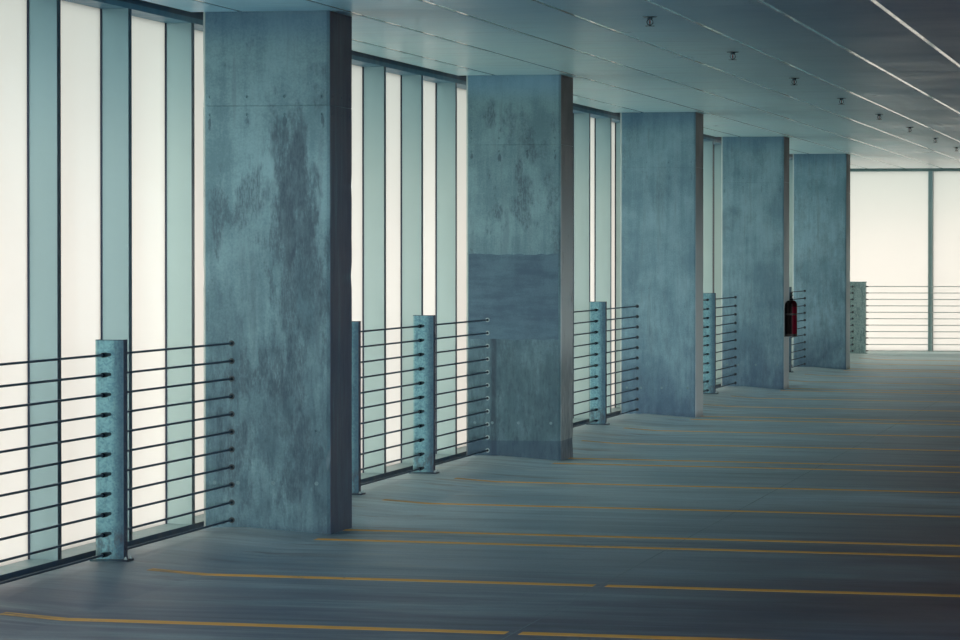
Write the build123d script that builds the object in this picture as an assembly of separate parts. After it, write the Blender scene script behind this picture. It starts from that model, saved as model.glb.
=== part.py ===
"""One storey of a multi storey car park, a model at half the real size, in millimetres.

The deck runs along Y, from its open end to a glazed end wall. Its two long sides are alike: a row
of columns, a cable barrier between the columns, and a wall of translucent panes outside them.
Z is up, and the origin is at the middle of the underside.
"""

import math
import os

from build123d import *

# Slabs, floor and ceiling
BAY = 4115.0                 # from one column to the next
BAYS = 6                     # bays along the deck, the last one without a far column
LAST_BAY = 4807.5            # last column's near face to the end wall's frame
CLEAR_WIDTH = 8735.0         # between the two rows of columns
CLEAR_HEIGHT = 1525.0        # floor beside the columns to the ceiling
SLAB_THICKNESS = 125.0
SLAB_OVERHANG = 150.0        # slab before the first column, at the open end
SLAB_LIP = 21.0              # slab edge outside the glazing
SCREED_THICKNESS = 15.0      # on the aisle, where it is thinnest
STALL_LENGTH = 2600.0
STALL_FALL = 32.5            # the floor falls this much along a stall, towards the aisle
WASH_RISE = 18.0             # raised strip under the barriers
KERB_RUN = 242.5             # slope up to the raised strip at the end wall
CEILING_THICKNESS = 25.0
CEILING_JOINT = 3.0
CEILING_EDGE_GAP = 37.0      # shadow gap between the ceiling and the glazing

# Columns
COLUMN_WIDTH = 381.0         # across the deck
COLUMN_LENGTH = 305.0        # along the deck
COLUMN_CHAMFER = 9.5

# Glazed walls
GLAZING_GAP = 68.5           # columns' outer face to the mullions
MODULES_PER_BAY = 6
MULLION_FACE = 32.0
MULLION_DEPTH = 81.0
PANE_THICKNESS = 10.0
PANE_GAP = 10.0              # between the edges of two panes
PANE_HEAD_GAP = 1.5
CAP_THICKNESS = 6.0
REBATE = 6.0                 # panes stand this deep in the rails
SILL_RISE = 15.5             # sill rail above the floor beside the columns
HEAD_DROP = 25.5             # head rail below the ceiling
NARROWEST_PANE = 150.0

# Cable barrier
CABLES = 11
CABLE_DIAMETER = 6.4
CABLE_SPACING = 51.65
LOWEST_CABLE = 38.5          # above the floor beside the columns
CABLE_SETBACK = 294.0        # columns' inner face to the cables
CABLE_CLEARANCE = 0.3        # round a cable, in a post
CABLE_SIDES = 4
SPANS_PER_BAY = 3
END_SPANS = 7
END_SETBACK = 975.0          # end wall's frame to the end cables
POST_WIDTH = 76.0
POST_DEPTH = 35.0
POST_WALL = 4.5
POST_TOP = 38.5              # post above its highest cable
BASE_LIP = 13.0
BASE_THICKNESS = 5.0
CORNER_POST_INBOARD = 101.5  # corner post's inner face to the side cables
CORNER_POST_OUTBOARD = 48.5
CORNER_POST_DEPTH = 100.0
CORNER_CAP_LIP = 4.0

# Sprinklers
SPRINKLER_ROW = 872.5        # from the columns' inner face
SPRINKLER_START = 457.5      # from a column's near face
SPRINKLERS_PER_BAY = 2
SPRINKLER_SIDES = 6
ROSE_RADIUS = 22.5
ROSE_THICKNESS = 4.0
STEM_RADIUS = 7.0
STEM_LENGTH = 26.0
DEFLECTOR_RADIUS = 14.0
DEFLECTOR_THICKNESS = 2.0

# Fire extinguisher
EXTINGUISHER_COLUMN = 5      # counted from the open end
EXTINGUISHER_SETBACK = 38.0  # its axis behind the column's near face
EXTINGUISHER_HEIGHT = 320.0  # its foot above the floor beside the columns
BODY_RADIUS = 36.75
BODY_HEIGHT = 217.0
SHOULDER_HEIGHT = 32.0
SHOULDER_STEPS = 3
NECK_RADIUS = 9.0
NECK_HEIGHT = 22.0
HANDLE_LENGTH = 62.0
HANDLE_WIDTH = 11.0
HANDLE_THICKNESS = 6.0
HANDLE_GAP = 24.0
BRACKET_WALL = 2.5
BRACKET_WIDTH = 44.0
BRACKET_HEIGHT = 170.0
BRACKET_SHELF = 20.0         # beyond the extinguisher's axis

# Heights
SLAB_TOP = SLAB_THICKNESS
AISLE_Z = SLAB_TOP + SCREED_THICKNESS
FLOOR_Z = AISLE_Z + STALL_FALL
WASH_Z = FLOOR_Z + WASH_RISE
CEILING_Z = FLOOR_Z + CLEAR_HEIGHT
SOFFIT_Z = CEILING_Z + CEILING_THICKNESS
SILL_Z = FLOOR_Z + SILL_RISE
HEAD_Z = CEILING_Z - HEAD_DROP
CABLE_HEIGHTS = [FLOOR_Z + LOWEST_CABLE + CABLE_SPACING * i for i in range(CABLES)]
POST_TOP_Z = CABLE_HEIGHTS[-1] + POST_TOP

# Places across the deck, out from its middle line
COLUMN_INNER_X = CLEAR_WIDTH / 2
COLUMN_OUTER_X = COLUMN_INNER_X + COLUMN_WIDTH
CABLE_X = COLUMN_INNER_X + CABLE_SETBACK
WASH_X = CABLE_X - POST_WIDTH / 2 - BASE_LIP
GLAZING_X = COLUMN_OUTER_X + GLAZING_GAP
GLAZING_DEPTH = MULLION_DEPTH + PANE_THICKNESS + CAP_THICKNESS
CEILING_X = GLAZING_X - CEILING_EDGE_GAP
SLAB_X = GLAZING_X + GLAZING_DEPTH + SLAB_LIP

# Places along the deck, from its open end to its glazed end
SLAB_LENGTH = SLAB_OVERHANG + BAY * (BAYS - 1) + LAST_BAY + GLAZING_DEPTH + SLAB_LIP
NEAR_Y = -SLAB_LENGTH / 2
COLUMN_YS = [NEAR_Y + SLAB_OVERHANG + BAY * i for i in range(BAYS)]
GLAZING_Y = COLUMN_YS[-1] + LAST_BAY
SCREED_END_Y = GLAZING_Y - GLAZING_GAP
END_CABLE_Y = GLAZING_Y - END_SETBACK
KERB_TOP_Y = END_CABLE_Y - CORNER_POST_DEPTH / 2 - BASE_LIP
MODULE = BAY / MODULES_PER_BAY


def block(x0, x1, y0, y1, z0, z1):
    """A box between six planes."""
    middle = Pos((x0 + x1) / 2, (y0 + y1) / 2, (z0 + z1) / 2)
    return middle * Box(x1 - x0, y1 - y0, z1 - z0)


def upright(outline, z0, z1):
    """A plan outline of (x, y) points, raised from z0 to z1."""
    return extrude(Pos(0, 0, z0) * Polygon(*outline, align=None), z1 - z0, dir=(0, 0, 1))


def along_y(outline, y0, y1):
    """A cross-section of (x, z) points, carried along the deck from y0 to y1."""
    section = Plane(origin=(0, y0, 0), x_dir=(1, 0, 0), z_dir=(0, -1, 0))
    return extrude(section * Polygon(*outline, align=None), y1 - y0, dir=(0, 1, 0))


def along_x(outline, x0, x1):
    """A cross-section of (y, z) points, carried across the deck from x0 to x1."""
    section = Plane(origin=(x0, 0, 0), x_dir=(0, 1, 0), z_dir=(1, 0, 0))
    return extrude(section * Polygon(*outline, align=None), x1 - x0, dir=(1, 0, 0))


def other_side(shape):
    """The same piece on the other long side of the deck."""
    return mirror(shape, about=Plane.YZ)


def slab(z0):
    """A flat slab over the whole storey."""
    return block(-SLAB_X, SLAB_X, NEAR_Y, -NEAR_Y, z0, z0 + SLAB_THICKNESS)


def column(near_y):
    """A column from slab to slab, on the side of positive X."""
    shaft = block(COLUMN_INNER_X, COLUMN_OUTER_X, near_y, near_y + COLUMN_LENGTH, SLAB_TOP, SOFFIT_Z)
    return chamfer(shaft.edges().filter_by(Axis.Z), COLUMN_CHAMFER)


def end_kerb():
    """The raised strip before the end wall, with its slope."""
    foot_y = KERB_TOP_Y - KERB_RUN
    outline = [
        (foot_y, SLAB_TOP),
        (SCREED_END_Y, SLAB_TOP),
        (SCREED_END_Y, WASH_Z),
        (KERB_TOP_Y, WASH_Z),
        (foot_y, AISLE_Z),
    ]
    return along_x(outline, -COLUMN_OUTER_X, COLUMN_OUTER_X)


def floor_screed(columns, kerb):
    """Half of the floor: aisle, stalls that fall towards it, and the raised strip at the columns."""
    section = [
        (0, SLAB_TOP),
        (COLUMN_OUTER_X, SLAB_TOP),
        (COLUMN_OUTER_X, WASH_Z),
        (WASH_X, WASH_Z),
        (COLUMN_INNER_X, FLOOR_Z),
        (COLUMN_INNER_X - STALL_LENGTH, AISLE_Z),
        (0, AISLE_Z),
    ]
    return along_y(section, NEAR_Y, SCREED_END_Y) - columns - kerb


def ceiling_bay(bay, near_columns):
    """The ceiling over one bay, cut round the columns at its near edge."""
    y0 = NEAR_Y if bay == 0 else COLUMN_YS[bay]
    last = bay == BAYS - 1
    y1 = GLAZING_Y - CEILING_EDGE_GAP if last else COLUMN_YS[bay + 1] - CEILING_JOINT
    panel = block(-CEILING_X, CEILING_X, y0, y1, CEILING_Z, SOFFIT_Z)
    near_y = COLUMN_YS[bay]
    notch_x = COLUMN_OUTER_X - COLUMN_CHAMFER
    outboard = block(notch_x, CEILING_X, near_y, near_y + COLUMN_LENGTH, CEILING_Z, SOFFIT_Z)
    return panel - near_columns - [outboard, other_side(outboard)]


def side_wall_place():
    """Where a long side's glazing stands: its own X runs along the deck and its Y outwards."""
    return Plane(origin=(-GLAZING_X, 0, 0), x_dir=(0, 1, 0), z_dir=(0, 0, 1))


def end_wall_place():
    """Where the end wall's glazing stands, in the same way."""
    return Plane(origin=(0, GLAZING_Y, 0))


def side_lines():
    """Middle lines of a long side's mullions: a jamb, and one at each column and between."""
    lines = [NEAR_Y + MULLION_FACE / 2]
    line = COLUMN_YS[0] + COLUMN_LENGTH / 2
    while line < GLAZING_Y - NARROWEST_PANE:
        lines.append(line)
        line += MODULE
    return lines


def end_lines():
    """Middle lines of the end wall's mullions, out from its middle."""
    count = int((GLAZING_X - NARROWEST_PANE) / MODULE)
    return [MODULE * i for i in range(-count, count + 1)]


def rail_section(z_plain, z_rebate):
    """A rail's cross-section, with the rebate that holds the panes, from its plain edge."""
    floor = z_rebate - REBATE if z_rebate > z_plain else z_rebate + REBATE
    return [
        (0, z_plain),
        (GLAZING_DEPTH, z_plain),
        (GLAZING_DEPTH, z_rebate),
        (MULLION_DEPTH + PANE_THICKNESS, z_rebate),
        (MULLION_DEPTH + PANE_THICKNESS, floor),
        (MULLION_DEPTH, floor),
        (MULLION_DEPTH, z_rebate),
        (0, z_rebate),
    ]


def rail(section, start, end, mitred_start=False):
    """A rail along a wall, mitred at its far end and, on the end wall, at both."""
    spare = GLAZING_DEPTH
    first = start - spare if mitred_start else start
    bar = along_x(section, first, end + spare)
    bar = split(bar, Plane(origin=(end, 0, 0), z_dir=(1, -1, 0)), keep=Keep.BOTTOM)
    if mitred_start:
        bar = split(bar, Plane(origin=(start, 0, 0), z_dir=(1, 1, 0)), keep=Keep.TOP)
    return bar


def mullion(line):
    """One mullion: its tube inside the panes, and its cover cap outside them."""
    half = MULLION_FACE / 2
    tube = block(line - half, line + half, 0, MULLION_DEPTH, SILL_Z, HEAD_Z)
    outside = MULLION_DEPTH + PANE_THICKNESS
    cap = block(line - half, line + half, outside, GLAZING_DEPTH, SILL_Z, HEAD_Z)
    return [tube, cap]


def corner_mullion():
    """The mullion where the end wall meets a long side, its caps on both sides of the corner."""
    pane_end = MULLION_DEPTH - PANE_GAP / 2
    pane_out = MULLION_DEPTH + PANE_THICKNESS
    cap_start = GLAZING_DEPTH - MULLION_FACE
    outline = [
        (0, 0),
        (MULLION_DEPTH, 0),
        (MULLION_DEPTH, pane_end),
        (pane_out, pane_end),
        (pane_out, cap_start),
        (GLAZING_DEPTH, cap_start),
        (GLAZING_DEPTH, GLAZING_DEPTH),
        (cap_start, GLAZING_DEPTH),
        (cap_start, pane_out),
        (pane_end, pane_out),
        (pane_end, MULLION_DEPTH),
        (0, MULLION_DEPTH),
    ]
    return Pos(GLAZING_X, GLAZING_Y, 0) * upright(outline, SILL_Z, HEAD_Z)


def panes(edges):
    """A pane between each two neighbours in a list of mullion lines or corners."""
    z0 = SILL_Z - REBATE
    z1 = HEAD_Z + REBATE - PANE_HEAD_GAP
    outside = MULLION_DEPTH + PANE_THICKNESS
    half = PANE_GAP / 2
    return [
        block(a + half, b - half, MULLION_DEPTH, outside, z0, z1)
        for a, b in zip(edges, edges[1:])
    ]


def cable(start, length):
    """One taut cable, from a point along Y."""
    face = Plane(origin=start, x_dir=(1, 0, 0), z_dir=(0, 1, 0))
    return extrude(face * RegularPolygon(CABLE_DIAMETER / 2, CABLE_SIDES), length)


def cable_run(x, y0, y1):
    """The cables of one bay, one above another."""
    return [cable((x, y0, z), y1 - y0) for z in CABLE_HEIGHTS]


def barrier_post():
    """A channel on a base plate, its web drilled for the cables. Its middle is at the origin."""
    half, back = POST_WIDTH / 2, POST_DEPTH / 2
    foot_z = WASH_Z + BASE_THICKNESS
    channel = upright(
        [
            (-half, -back),
            (half, -back),
            (half, back),
            (half - POST_WALL, back),
            (half - POST_WALL, POST_WALL - back),
            (POST_WALL - half, POST_WALL - back),
            (POST_WALL - half, back),
            (-half, back),
        ],
        foot_z,
        POST_TOP_Z,
    )
    plate = block(
        -half - BASE_LIP, half + BASE_LIP, -back - BASE_LIP, back + BASE_LIP, WASH_Z, foot_z
    )
    drill = RegularPolygon(CABLE_DIAMETER / 2 + CABLE_CLEARANCE, CABLE_SIDES)
    holes = []
    for z in CABLE_HEIGHTS:
        face = Plane(origin=(0, -POST_DEPTH, z), x_dir=(1, 0, 0), z_dir=(0, 1, 0))
        holes.append(extrude(face * drill, POST_DEPTH))
    return channel - holes + plate


def side_spans():
    """Where each bay's cables start and end along a long side."""
    starts = [y + COLUMN_LENGTH for y in COLUMN_YS]
    ends = COLUMN_YS[1:] + [END_CABLE_Y - CORNER_POST_DEPTH / 2]
    return list(zip(starts, ends))


def side_posts(post):
    """A long side's posts, at equal steps between the columns."""
    placed = []
    for y0, y1 in side_spans():
        for i in range(1, SPANS_PER_BAY):
            placed.append(Pos(CABLE_X, y0 + (y1 - y0) * i / SPANS_PER_BAY, 0) * post)
    return placed


def end_posts(post):
    """The end barrier's posts, turned so that its cables pass through them."""
    half_run = CABLE_X - CORNER_POST_INBOARD
    step = 2 * half_run / END_SPANS
    return [
        Pos(step * i - half_run, END_CABLE_Y, 0) * Rot(0, 0, -90) * post
        for i in range(1, END_SPANS)
    ]


def end_cables():
    """The cables of the end barrier, from one corner post to the other."""
    half_run = CABLE_X - CORNER_POST_INBOARD
    turn = Pos(-half_run, END_CABLE_Y, 0) * Rot(0, 0, -90)
    return [turn * line for line in cable_run(0, 0, 2 * half_run)]


def corner_post():
    """The wide post where the side cables and the end cables are made fast."""
    x0, x1 = CABLE_X - CORNER_POST_INBOARD, CABLE_X + CORNER_POST_OUTBOARD
    y0, y1 = END_CABLE_Y - CORNER_POST_DEPTH / 2, END_CABLE_Y + CORNER_POST_DEPTH / 2
    foot_z = WASH_Z + BASE_THICKNESS
    cap_z = POST_TOP_Z - BASE_THICKNESS
    shaft = block(x0, x1, y0, y1, foot_z, cap_z)
    plate = block(x0 - BASE_LIP, x1 + BASE_LIP, y0 - BASE_LIP, y1 + BASE_LIP, WASH_Z, foot_z)
    lip = CORNER_CAP_LIP
    cap = block(x0 - lip, x1 + lip, y0 - lip, y1 + lip, cap_z, POST_TOP_Z)
    return shaft + plate + cap


def sprinkler():
    """A hanging sprinkler head: rose, stem and deflector. Its top is at the origin."""
    deflector_z = -ROSE_THICKNESS - STEM_LENGTH
    rose = extrude(RegularPolygon(ROSE_RADIUS, SPRINKLER_SIDES), -ROSE_THICKNESS)
    stem = extrude(
        Pos(0, 0, -ROSE_THICKNESS) * RegularPolygon(STEM_RADIUS, SPRINKLER_SIDES), -STEM_LENGTH
    )
    deflector = extrude(
        Pos(0, 0, deflector_z) * RegularPolygon(DEFLECTOR_RADIUS, SPRINKLER_SIDES),
        -DEFLECTOR_THICKNESS,
    )
    return rose + stem + deflector


def sprinklers(head):
    """A row of heads over the stalls of each long side."""
    step = BAY / SPRINKLERS_PER_BAY
    x = COLUMN_INNER_X - SPRINKLER_ROW
    placed = []
    for near_y in COLUMN_YS:
        for i in range(SPRINKLERS_PER_BAY):
            y = near_y + SPRINKLER_START + step * i
            placed += [Pos(-x, y, CEILING_Z) * head, Pos(x, y, CEILING_Z) * head]
    return placed


def extinguisher_axis():
    """Where the extinguisher's upright axis is, on the side of negative X."""
    x = -COLUMN_INNER_X + BRACKET_WALL + BODY_RADIUS
    return x, COLUMN_YS[EXTINGUISHER_COLUMN - 1] + EXTINGUISHER_SETBACK


def shoulder_points():
    """The extinguisher's shoulder, from the top of its wall in to its neck, as (radius, z) points."""
    points = []
    for i in range(SHOULDER_STEPS + 1):
        angle = math.pi / 2 * i / SHOULDER_STEPS
        radius = NECK_RADIUS + (BODY_RADIUS - NECK_RADIUS) * math.cos(angle)
        points.append((radius, BODY_HEIGHT - SHOULDER_HEIGHT * (1 - math.sin(angle))))
    return points


def fire_extinguisher():
    """A cylinder with a rounded shoulder and a neck, and two grips on it."""
    x, y = extinguisher_axis()
    neck_top = BODY_HEIGHT + NECK_HEIGHT
    outline = [(0, 0), (BODY_RADIUS, 0), *shoulder_points(), (NECK_RADIUS, neck_top), (0, neck_top)]
    body = revolve(Plane.XZ * Polygon(*outline, align=None), Axis.Z)
    grips = [
        (-NECK_RADIUS, neck_top),
        (HANDLE_LENGTH - NECK_RADIUS, neck_top),
        (HANDLE_LENGTH - NECK_RADIUS, neck_top + HANDLE_THICKNESS),
        (NECK_RADIUS, neck_top + HANDLE_THICKNESS),
        (NECK_RADIUS, neck_top + HANDLE_GAP),
        (HANDLE_LENGTH - NECK_RADIUS, neck_top + HANDLE_GAP),
        (HANDLE_LENGTH - NECK_RADIUS, neck_top + HANDLE_GAP + HANDLE_THICKNESS),
        (-NECK_RADIUS, neck_top + HANDLE_GAP + HANDLE_THICKNESS),
    ]
    body += along_x(grips, -HANDLE_WIDTH / 2, HANDLE_WIDTH / 2)
    return Pos(x, y, FLOOR_Z + EXTINGUISHER_HEIGHT) * body


def extinguisher_bracket():
    """A plate on the column's inner face, with the shelf that the extinguisher stands on."""
    x, y = extinguisher_axis()
    face_x = -COLUMN_INNER_X
    foot_z = FLOOR_Z + EXTINGUISHER_HEIGHT
    y0, y1 = y - BRACKET_WIDTH / 2, y + BRACKET_WIDTH / 2
    shelf_z = foot_z - BRACKET_WALL
    plate = block(face_x, face_x + BRACKET_WALL, y0, y1, shelf_z, foot_z + BRACKET_HEIGHT)
    shelf = block(face_x, x + BRACKET_SHELF, y0, y1, shelf_z, foot_z)
    return plate + shelf


def glazed_walls():
    """The glazing of the two long sides and of the end wall."""
    left, end = side_wall_place(), end_wall_place()
    side, across = side_lines(), end_lines()
    far_corner = GLAZING_Y + MULLION_DEPTH
    side_corner = GLAZING_X + MULLION_DEPTH
    sill = rail_section(SLAB_TOP, SILL_Z)
    head = rail_section(SOFFIT_Z, HEAD_Z)
    jamb_edge = NEAR_Y - PANE_GAP / 2
    side_panes = panes([jamb_edge] + side[1:] + [far_corner])
    end_panes = panes([-side_corner] + across + [side_corner])
    corner = corner_mullion()
    nodes = {
        "left_mullions": [left * piece for line in side for piece in mullion(line)],
        "left_glass": [left * pane for pane in side_panes],
        "left_sill_rail": [left * rail(sill, NEAR_Y, GLAZING_Y)],
        "left_head_rail": [left * rail(head, NEAR_Y, GLAZING_Y)],
    }
    for name in list(nodes):
        nodes[name.replace("left", "right")] = [other_side(piece) for piece in nodes[name]]
    nodes["end_mullions"] = [end * piece for line in across for piece in mullion(line)]
    nodes["end_mullions"] += [corner, other_side(corner)]
    nodes["end_glass"] = [end * pane for pane in end_panes]
    nodes["end_sill_rail"] = [end * rail(sill, -GLAZING_X, GLAZING_X, mitred_start=True)]
    nodes["end_head_rail"] = [end * rail(head, -GLAZING_X, GLAZING_X, mitred_start=True)]
    return nodes


def cable_barriers():
    """Posts, cables and corner posts of the barriers along three sides."""
    post, corner = barrier_post(), corner_post()
    posts = side_posts(post)
    cables = [line for y0, y1 in side_spans() for line in cable_run(CABLE_X, y0, y1)]
    return {
        "left_barrier_posts": [other_side(piece) for piece in posts],
        "right_barrier_posts": posts,
        "end_barrier_posts": end_posts(post),
        "left_barrier_cables": [other_side(line) for line in cables],
        "right_barrier_cables": cables,
        "end_barrier_cables": end_cables(),
        "corner_posts": [other_side(corner), corner],
    }


def build():
    """Every piece of the storey, by the name of its node."""
    right_columns = [column(y) for y in COLUMN_YS]
    left_columns = [other_side(shaft) for shaft in right_columns]
    kerb = end_kerb()
    screed = floor_screed(right_columns, kerb)
    nodes = {
        "deck_slab": [slab(0)],
        "upper_slab": [slab(SOFFIT_Z)],
        "left_floor_screed": [other_side(screed)],
        "right_floor_screed": [screed],
        "end_kerb": [kerb],
    }
    for i, (left, right) in enumerate(zip(left_columns, right_columns)):
        nodes[f"left_column_{i + 1}"] = [left]
        nodes[f"right_column_{i + 1}"] = [right]
        nodes[f"ceiling_bay_{i + 1}"] = [ceiling_bay(i, [left, right])]
    nodes.update(glazed_walls())
    nodes.update(cable_barriers())
    nodes["sprinklers"] = sprinklers(sprinkler())
    nodes["fire_extinguisher"] = [fire_extinguisher()]
    nodes["extinguisher_bracket"] = [extinguisher_bracket()]
    return nodes


if __name__ == "__main__":
    os.makedirs("parts", exist_ok=True)
    for name, solids in build().items():
        shape = solids[0] if len(solids) == 1 else Compound(solids)
        export_step(shape, f"parts/{name}.step")
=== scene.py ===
"""The looks of one storey of a car park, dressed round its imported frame, in metres.

The deck runs along Y from its open end to a glazed end wall, and its two long sides are alike.
Each sub-assembly is a class: it reads its places from the frame, builds its pieces and gives
them their finishes.
"""

from __future__ import annotations

import logging
import math
import random
from collections.abc import Callable, Sequence
from dataclasses import dataclass, field, replace
from enum import Enum
from functools import cache, partial
from typing import Any

import bmesh
import bpy
from bpy.types import Material, Mesh, Node, NodeSocket, NodeTree, Object
from mathutils import Euler, Matrix, Vector


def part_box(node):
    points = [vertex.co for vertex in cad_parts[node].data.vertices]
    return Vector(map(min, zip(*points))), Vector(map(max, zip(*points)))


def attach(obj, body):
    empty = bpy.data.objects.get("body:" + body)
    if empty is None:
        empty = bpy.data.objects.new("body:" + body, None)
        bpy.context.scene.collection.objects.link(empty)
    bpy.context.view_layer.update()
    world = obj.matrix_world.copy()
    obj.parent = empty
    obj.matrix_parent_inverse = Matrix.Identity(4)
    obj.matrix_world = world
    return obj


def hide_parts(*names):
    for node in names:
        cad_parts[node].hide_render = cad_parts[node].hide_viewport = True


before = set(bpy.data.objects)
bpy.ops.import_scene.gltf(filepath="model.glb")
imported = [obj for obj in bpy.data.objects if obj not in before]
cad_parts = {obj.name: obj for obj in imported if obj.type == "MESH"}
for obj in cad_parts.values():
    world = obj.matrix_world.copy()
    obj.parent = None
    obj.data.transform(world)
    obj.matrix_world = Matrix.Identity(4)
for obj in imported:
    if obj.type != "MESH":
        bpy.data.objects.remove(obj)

LOG = logging.getLogger("parking_storey")
BODY = "root"
MM = 0.001
MIX_FACTOR, MIX_A, MIX_B = 0, 6, 7
COLOURS = {"data_type": "RGBA"}
SMOOTH = {"interpolation_type": "SMOOTHSTEP"}
SIGNS = (-1, 1)
BAYS = range(1, 7)
CABLES = 11
# Limits of stains and painted shading that go on past the deck's ends, its long sides and its top.
BEFORE, BEYOND, OUTSIDE, ABOVE = -20.0, 20.0, 9.0, 3.0
# Edges of flat work that turn by more than this many degrees stay sharp.
FLAT_WORK = 20.0
TURN = "turn"
REACH = "reach"
RING = "ring"


class Side(Enum):
    """A long side of the deck, with the sign of its X."""

    LEFT = -1
    RIGHT = 1

    @property
    def label(self) -> str:
        """The side's name, as the nodes have it."""
        return self.name.lower()


class Slot(str, Enum):
    """The record's material slots."""

    SLAB = "slab_concrete"
    FLOOR = "floor_screed"
    CEILING = "ceiling_concrete"
    COLUMN = "column_concrete"
    MULLION = "mullion_aluminium"
    RAIL = "rail_paint"
    GLASS = "translucent_glass"
    CABLE = "steel_cable"
    GALVANISED = "galvanised_steel"
    SPRINKLER = "sprinkler_chrome"
    ENAMEL = "extinguisher_enamel"
    BRACKET = "bracket_paint"


def linear(hex_colour: str) -> tuple[float, float, float, float]:
    """Turns an sRGB hex value into linear light.

    Args:
        hex_colour: A value such as "#93b4b9".

    Returns:
        Red, green, blue and an alpha of 1.
    """
    channels = [int(hex_colour[i : i + 2], 16) / 255 for i in (1, 3, 5)]
    red, green, blue = [
        c / 12.92 if c <= 0.04045 else ((c + 0.055) / 1.055) ** 2.4 for c in channels
    ]
    return red, green, blue, 1.0


def add_node(
    tree: NodeTree, kind: str, inputs: dict[str | int, Any] | None = None, **settings: Any
) -> Node:
    """Adds a node with its settings and its inputs.

    Args:
        tree: The node tree that gets it.
        kind: The node's type.
        inputs: By name or number, a value, a socket, or a node whose first output in use is linked.
        **settings: Properties of the node.

    Returns:
        The new node.
    """
    node = tree.nodes.new(kind)
    for key, value in settings.items():
        setattr(node, key, value)
    for key, value in (inputs or {}).items():
        if isinstance(value, Node):
            value = next(output for output in value.outputs if output.enabled)
        if isinstance(value, NodeSocket):
            tree.links.new(value, node.inputs[key])
        else:
            node.inputs[key].default_value = value
    return node


Add = Callable[..., Node]


def place_at(spot: Sequence[float], turn: Sequence[float] = (0.0, 0.0, 0.0)) -> Matrix:
    """A part's place and its turn about X, Y and Z, as one matrix."""
    return Matrix.Translation(spot) @ Euler(turn).to_matrix().to_4x4()


def in_mm(*points: tuple[float, float], base: float = 0.0) -> list[tuple[float, float]]:
    """Turns (radius, z) points in millimetres above a base height into metres."""
    return [(radius * MM, base + z * MM) for radius, z in points]


def spread(start: float, end: float, steps: int) -> list[float]:
    """Values at equal steps from start to end, both with them."""
    return [start + (end - start) * i / steps for i in range(steps + 1)]


def circle(radius: float, sides: int) -> list[tuple[float, float]]:
    """A circle's points, as two coordinates each."""
    turns = [math.tau * i / sides for i in range(sides)]
    return [(radius * math.cos(turn), radius * math.sin(turn)) for turn in turns]


def link_new(name: str, data: Any) -> Object:
    """Makes an object of mesh, lamp or camera data, and puts it in the scene.

    Args:
        name: The object's name.
        data: What it shows.

    Returns:
        The object.
    """
    made = bpy.data.objects.new(name, data)
    bpy.context.scene.collection.objects.link(made)
    return made


class Axis(Enum):
    """An axis that a stretch of stain or of painted shading is measured along; X counts out from the middle
    line.
    """

    OUT = "X"
    ALONG = "Y"
    UP = "Z"


@dataclass(frozen=True)
class Stretch:
    """A stretch along one axis that holds a stain or painted shading, its ends soft or ragged."""

    axis: Axis
    low: float
    high: float
    soft: float = 0.01
    ragged: float = 0.0


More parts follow.
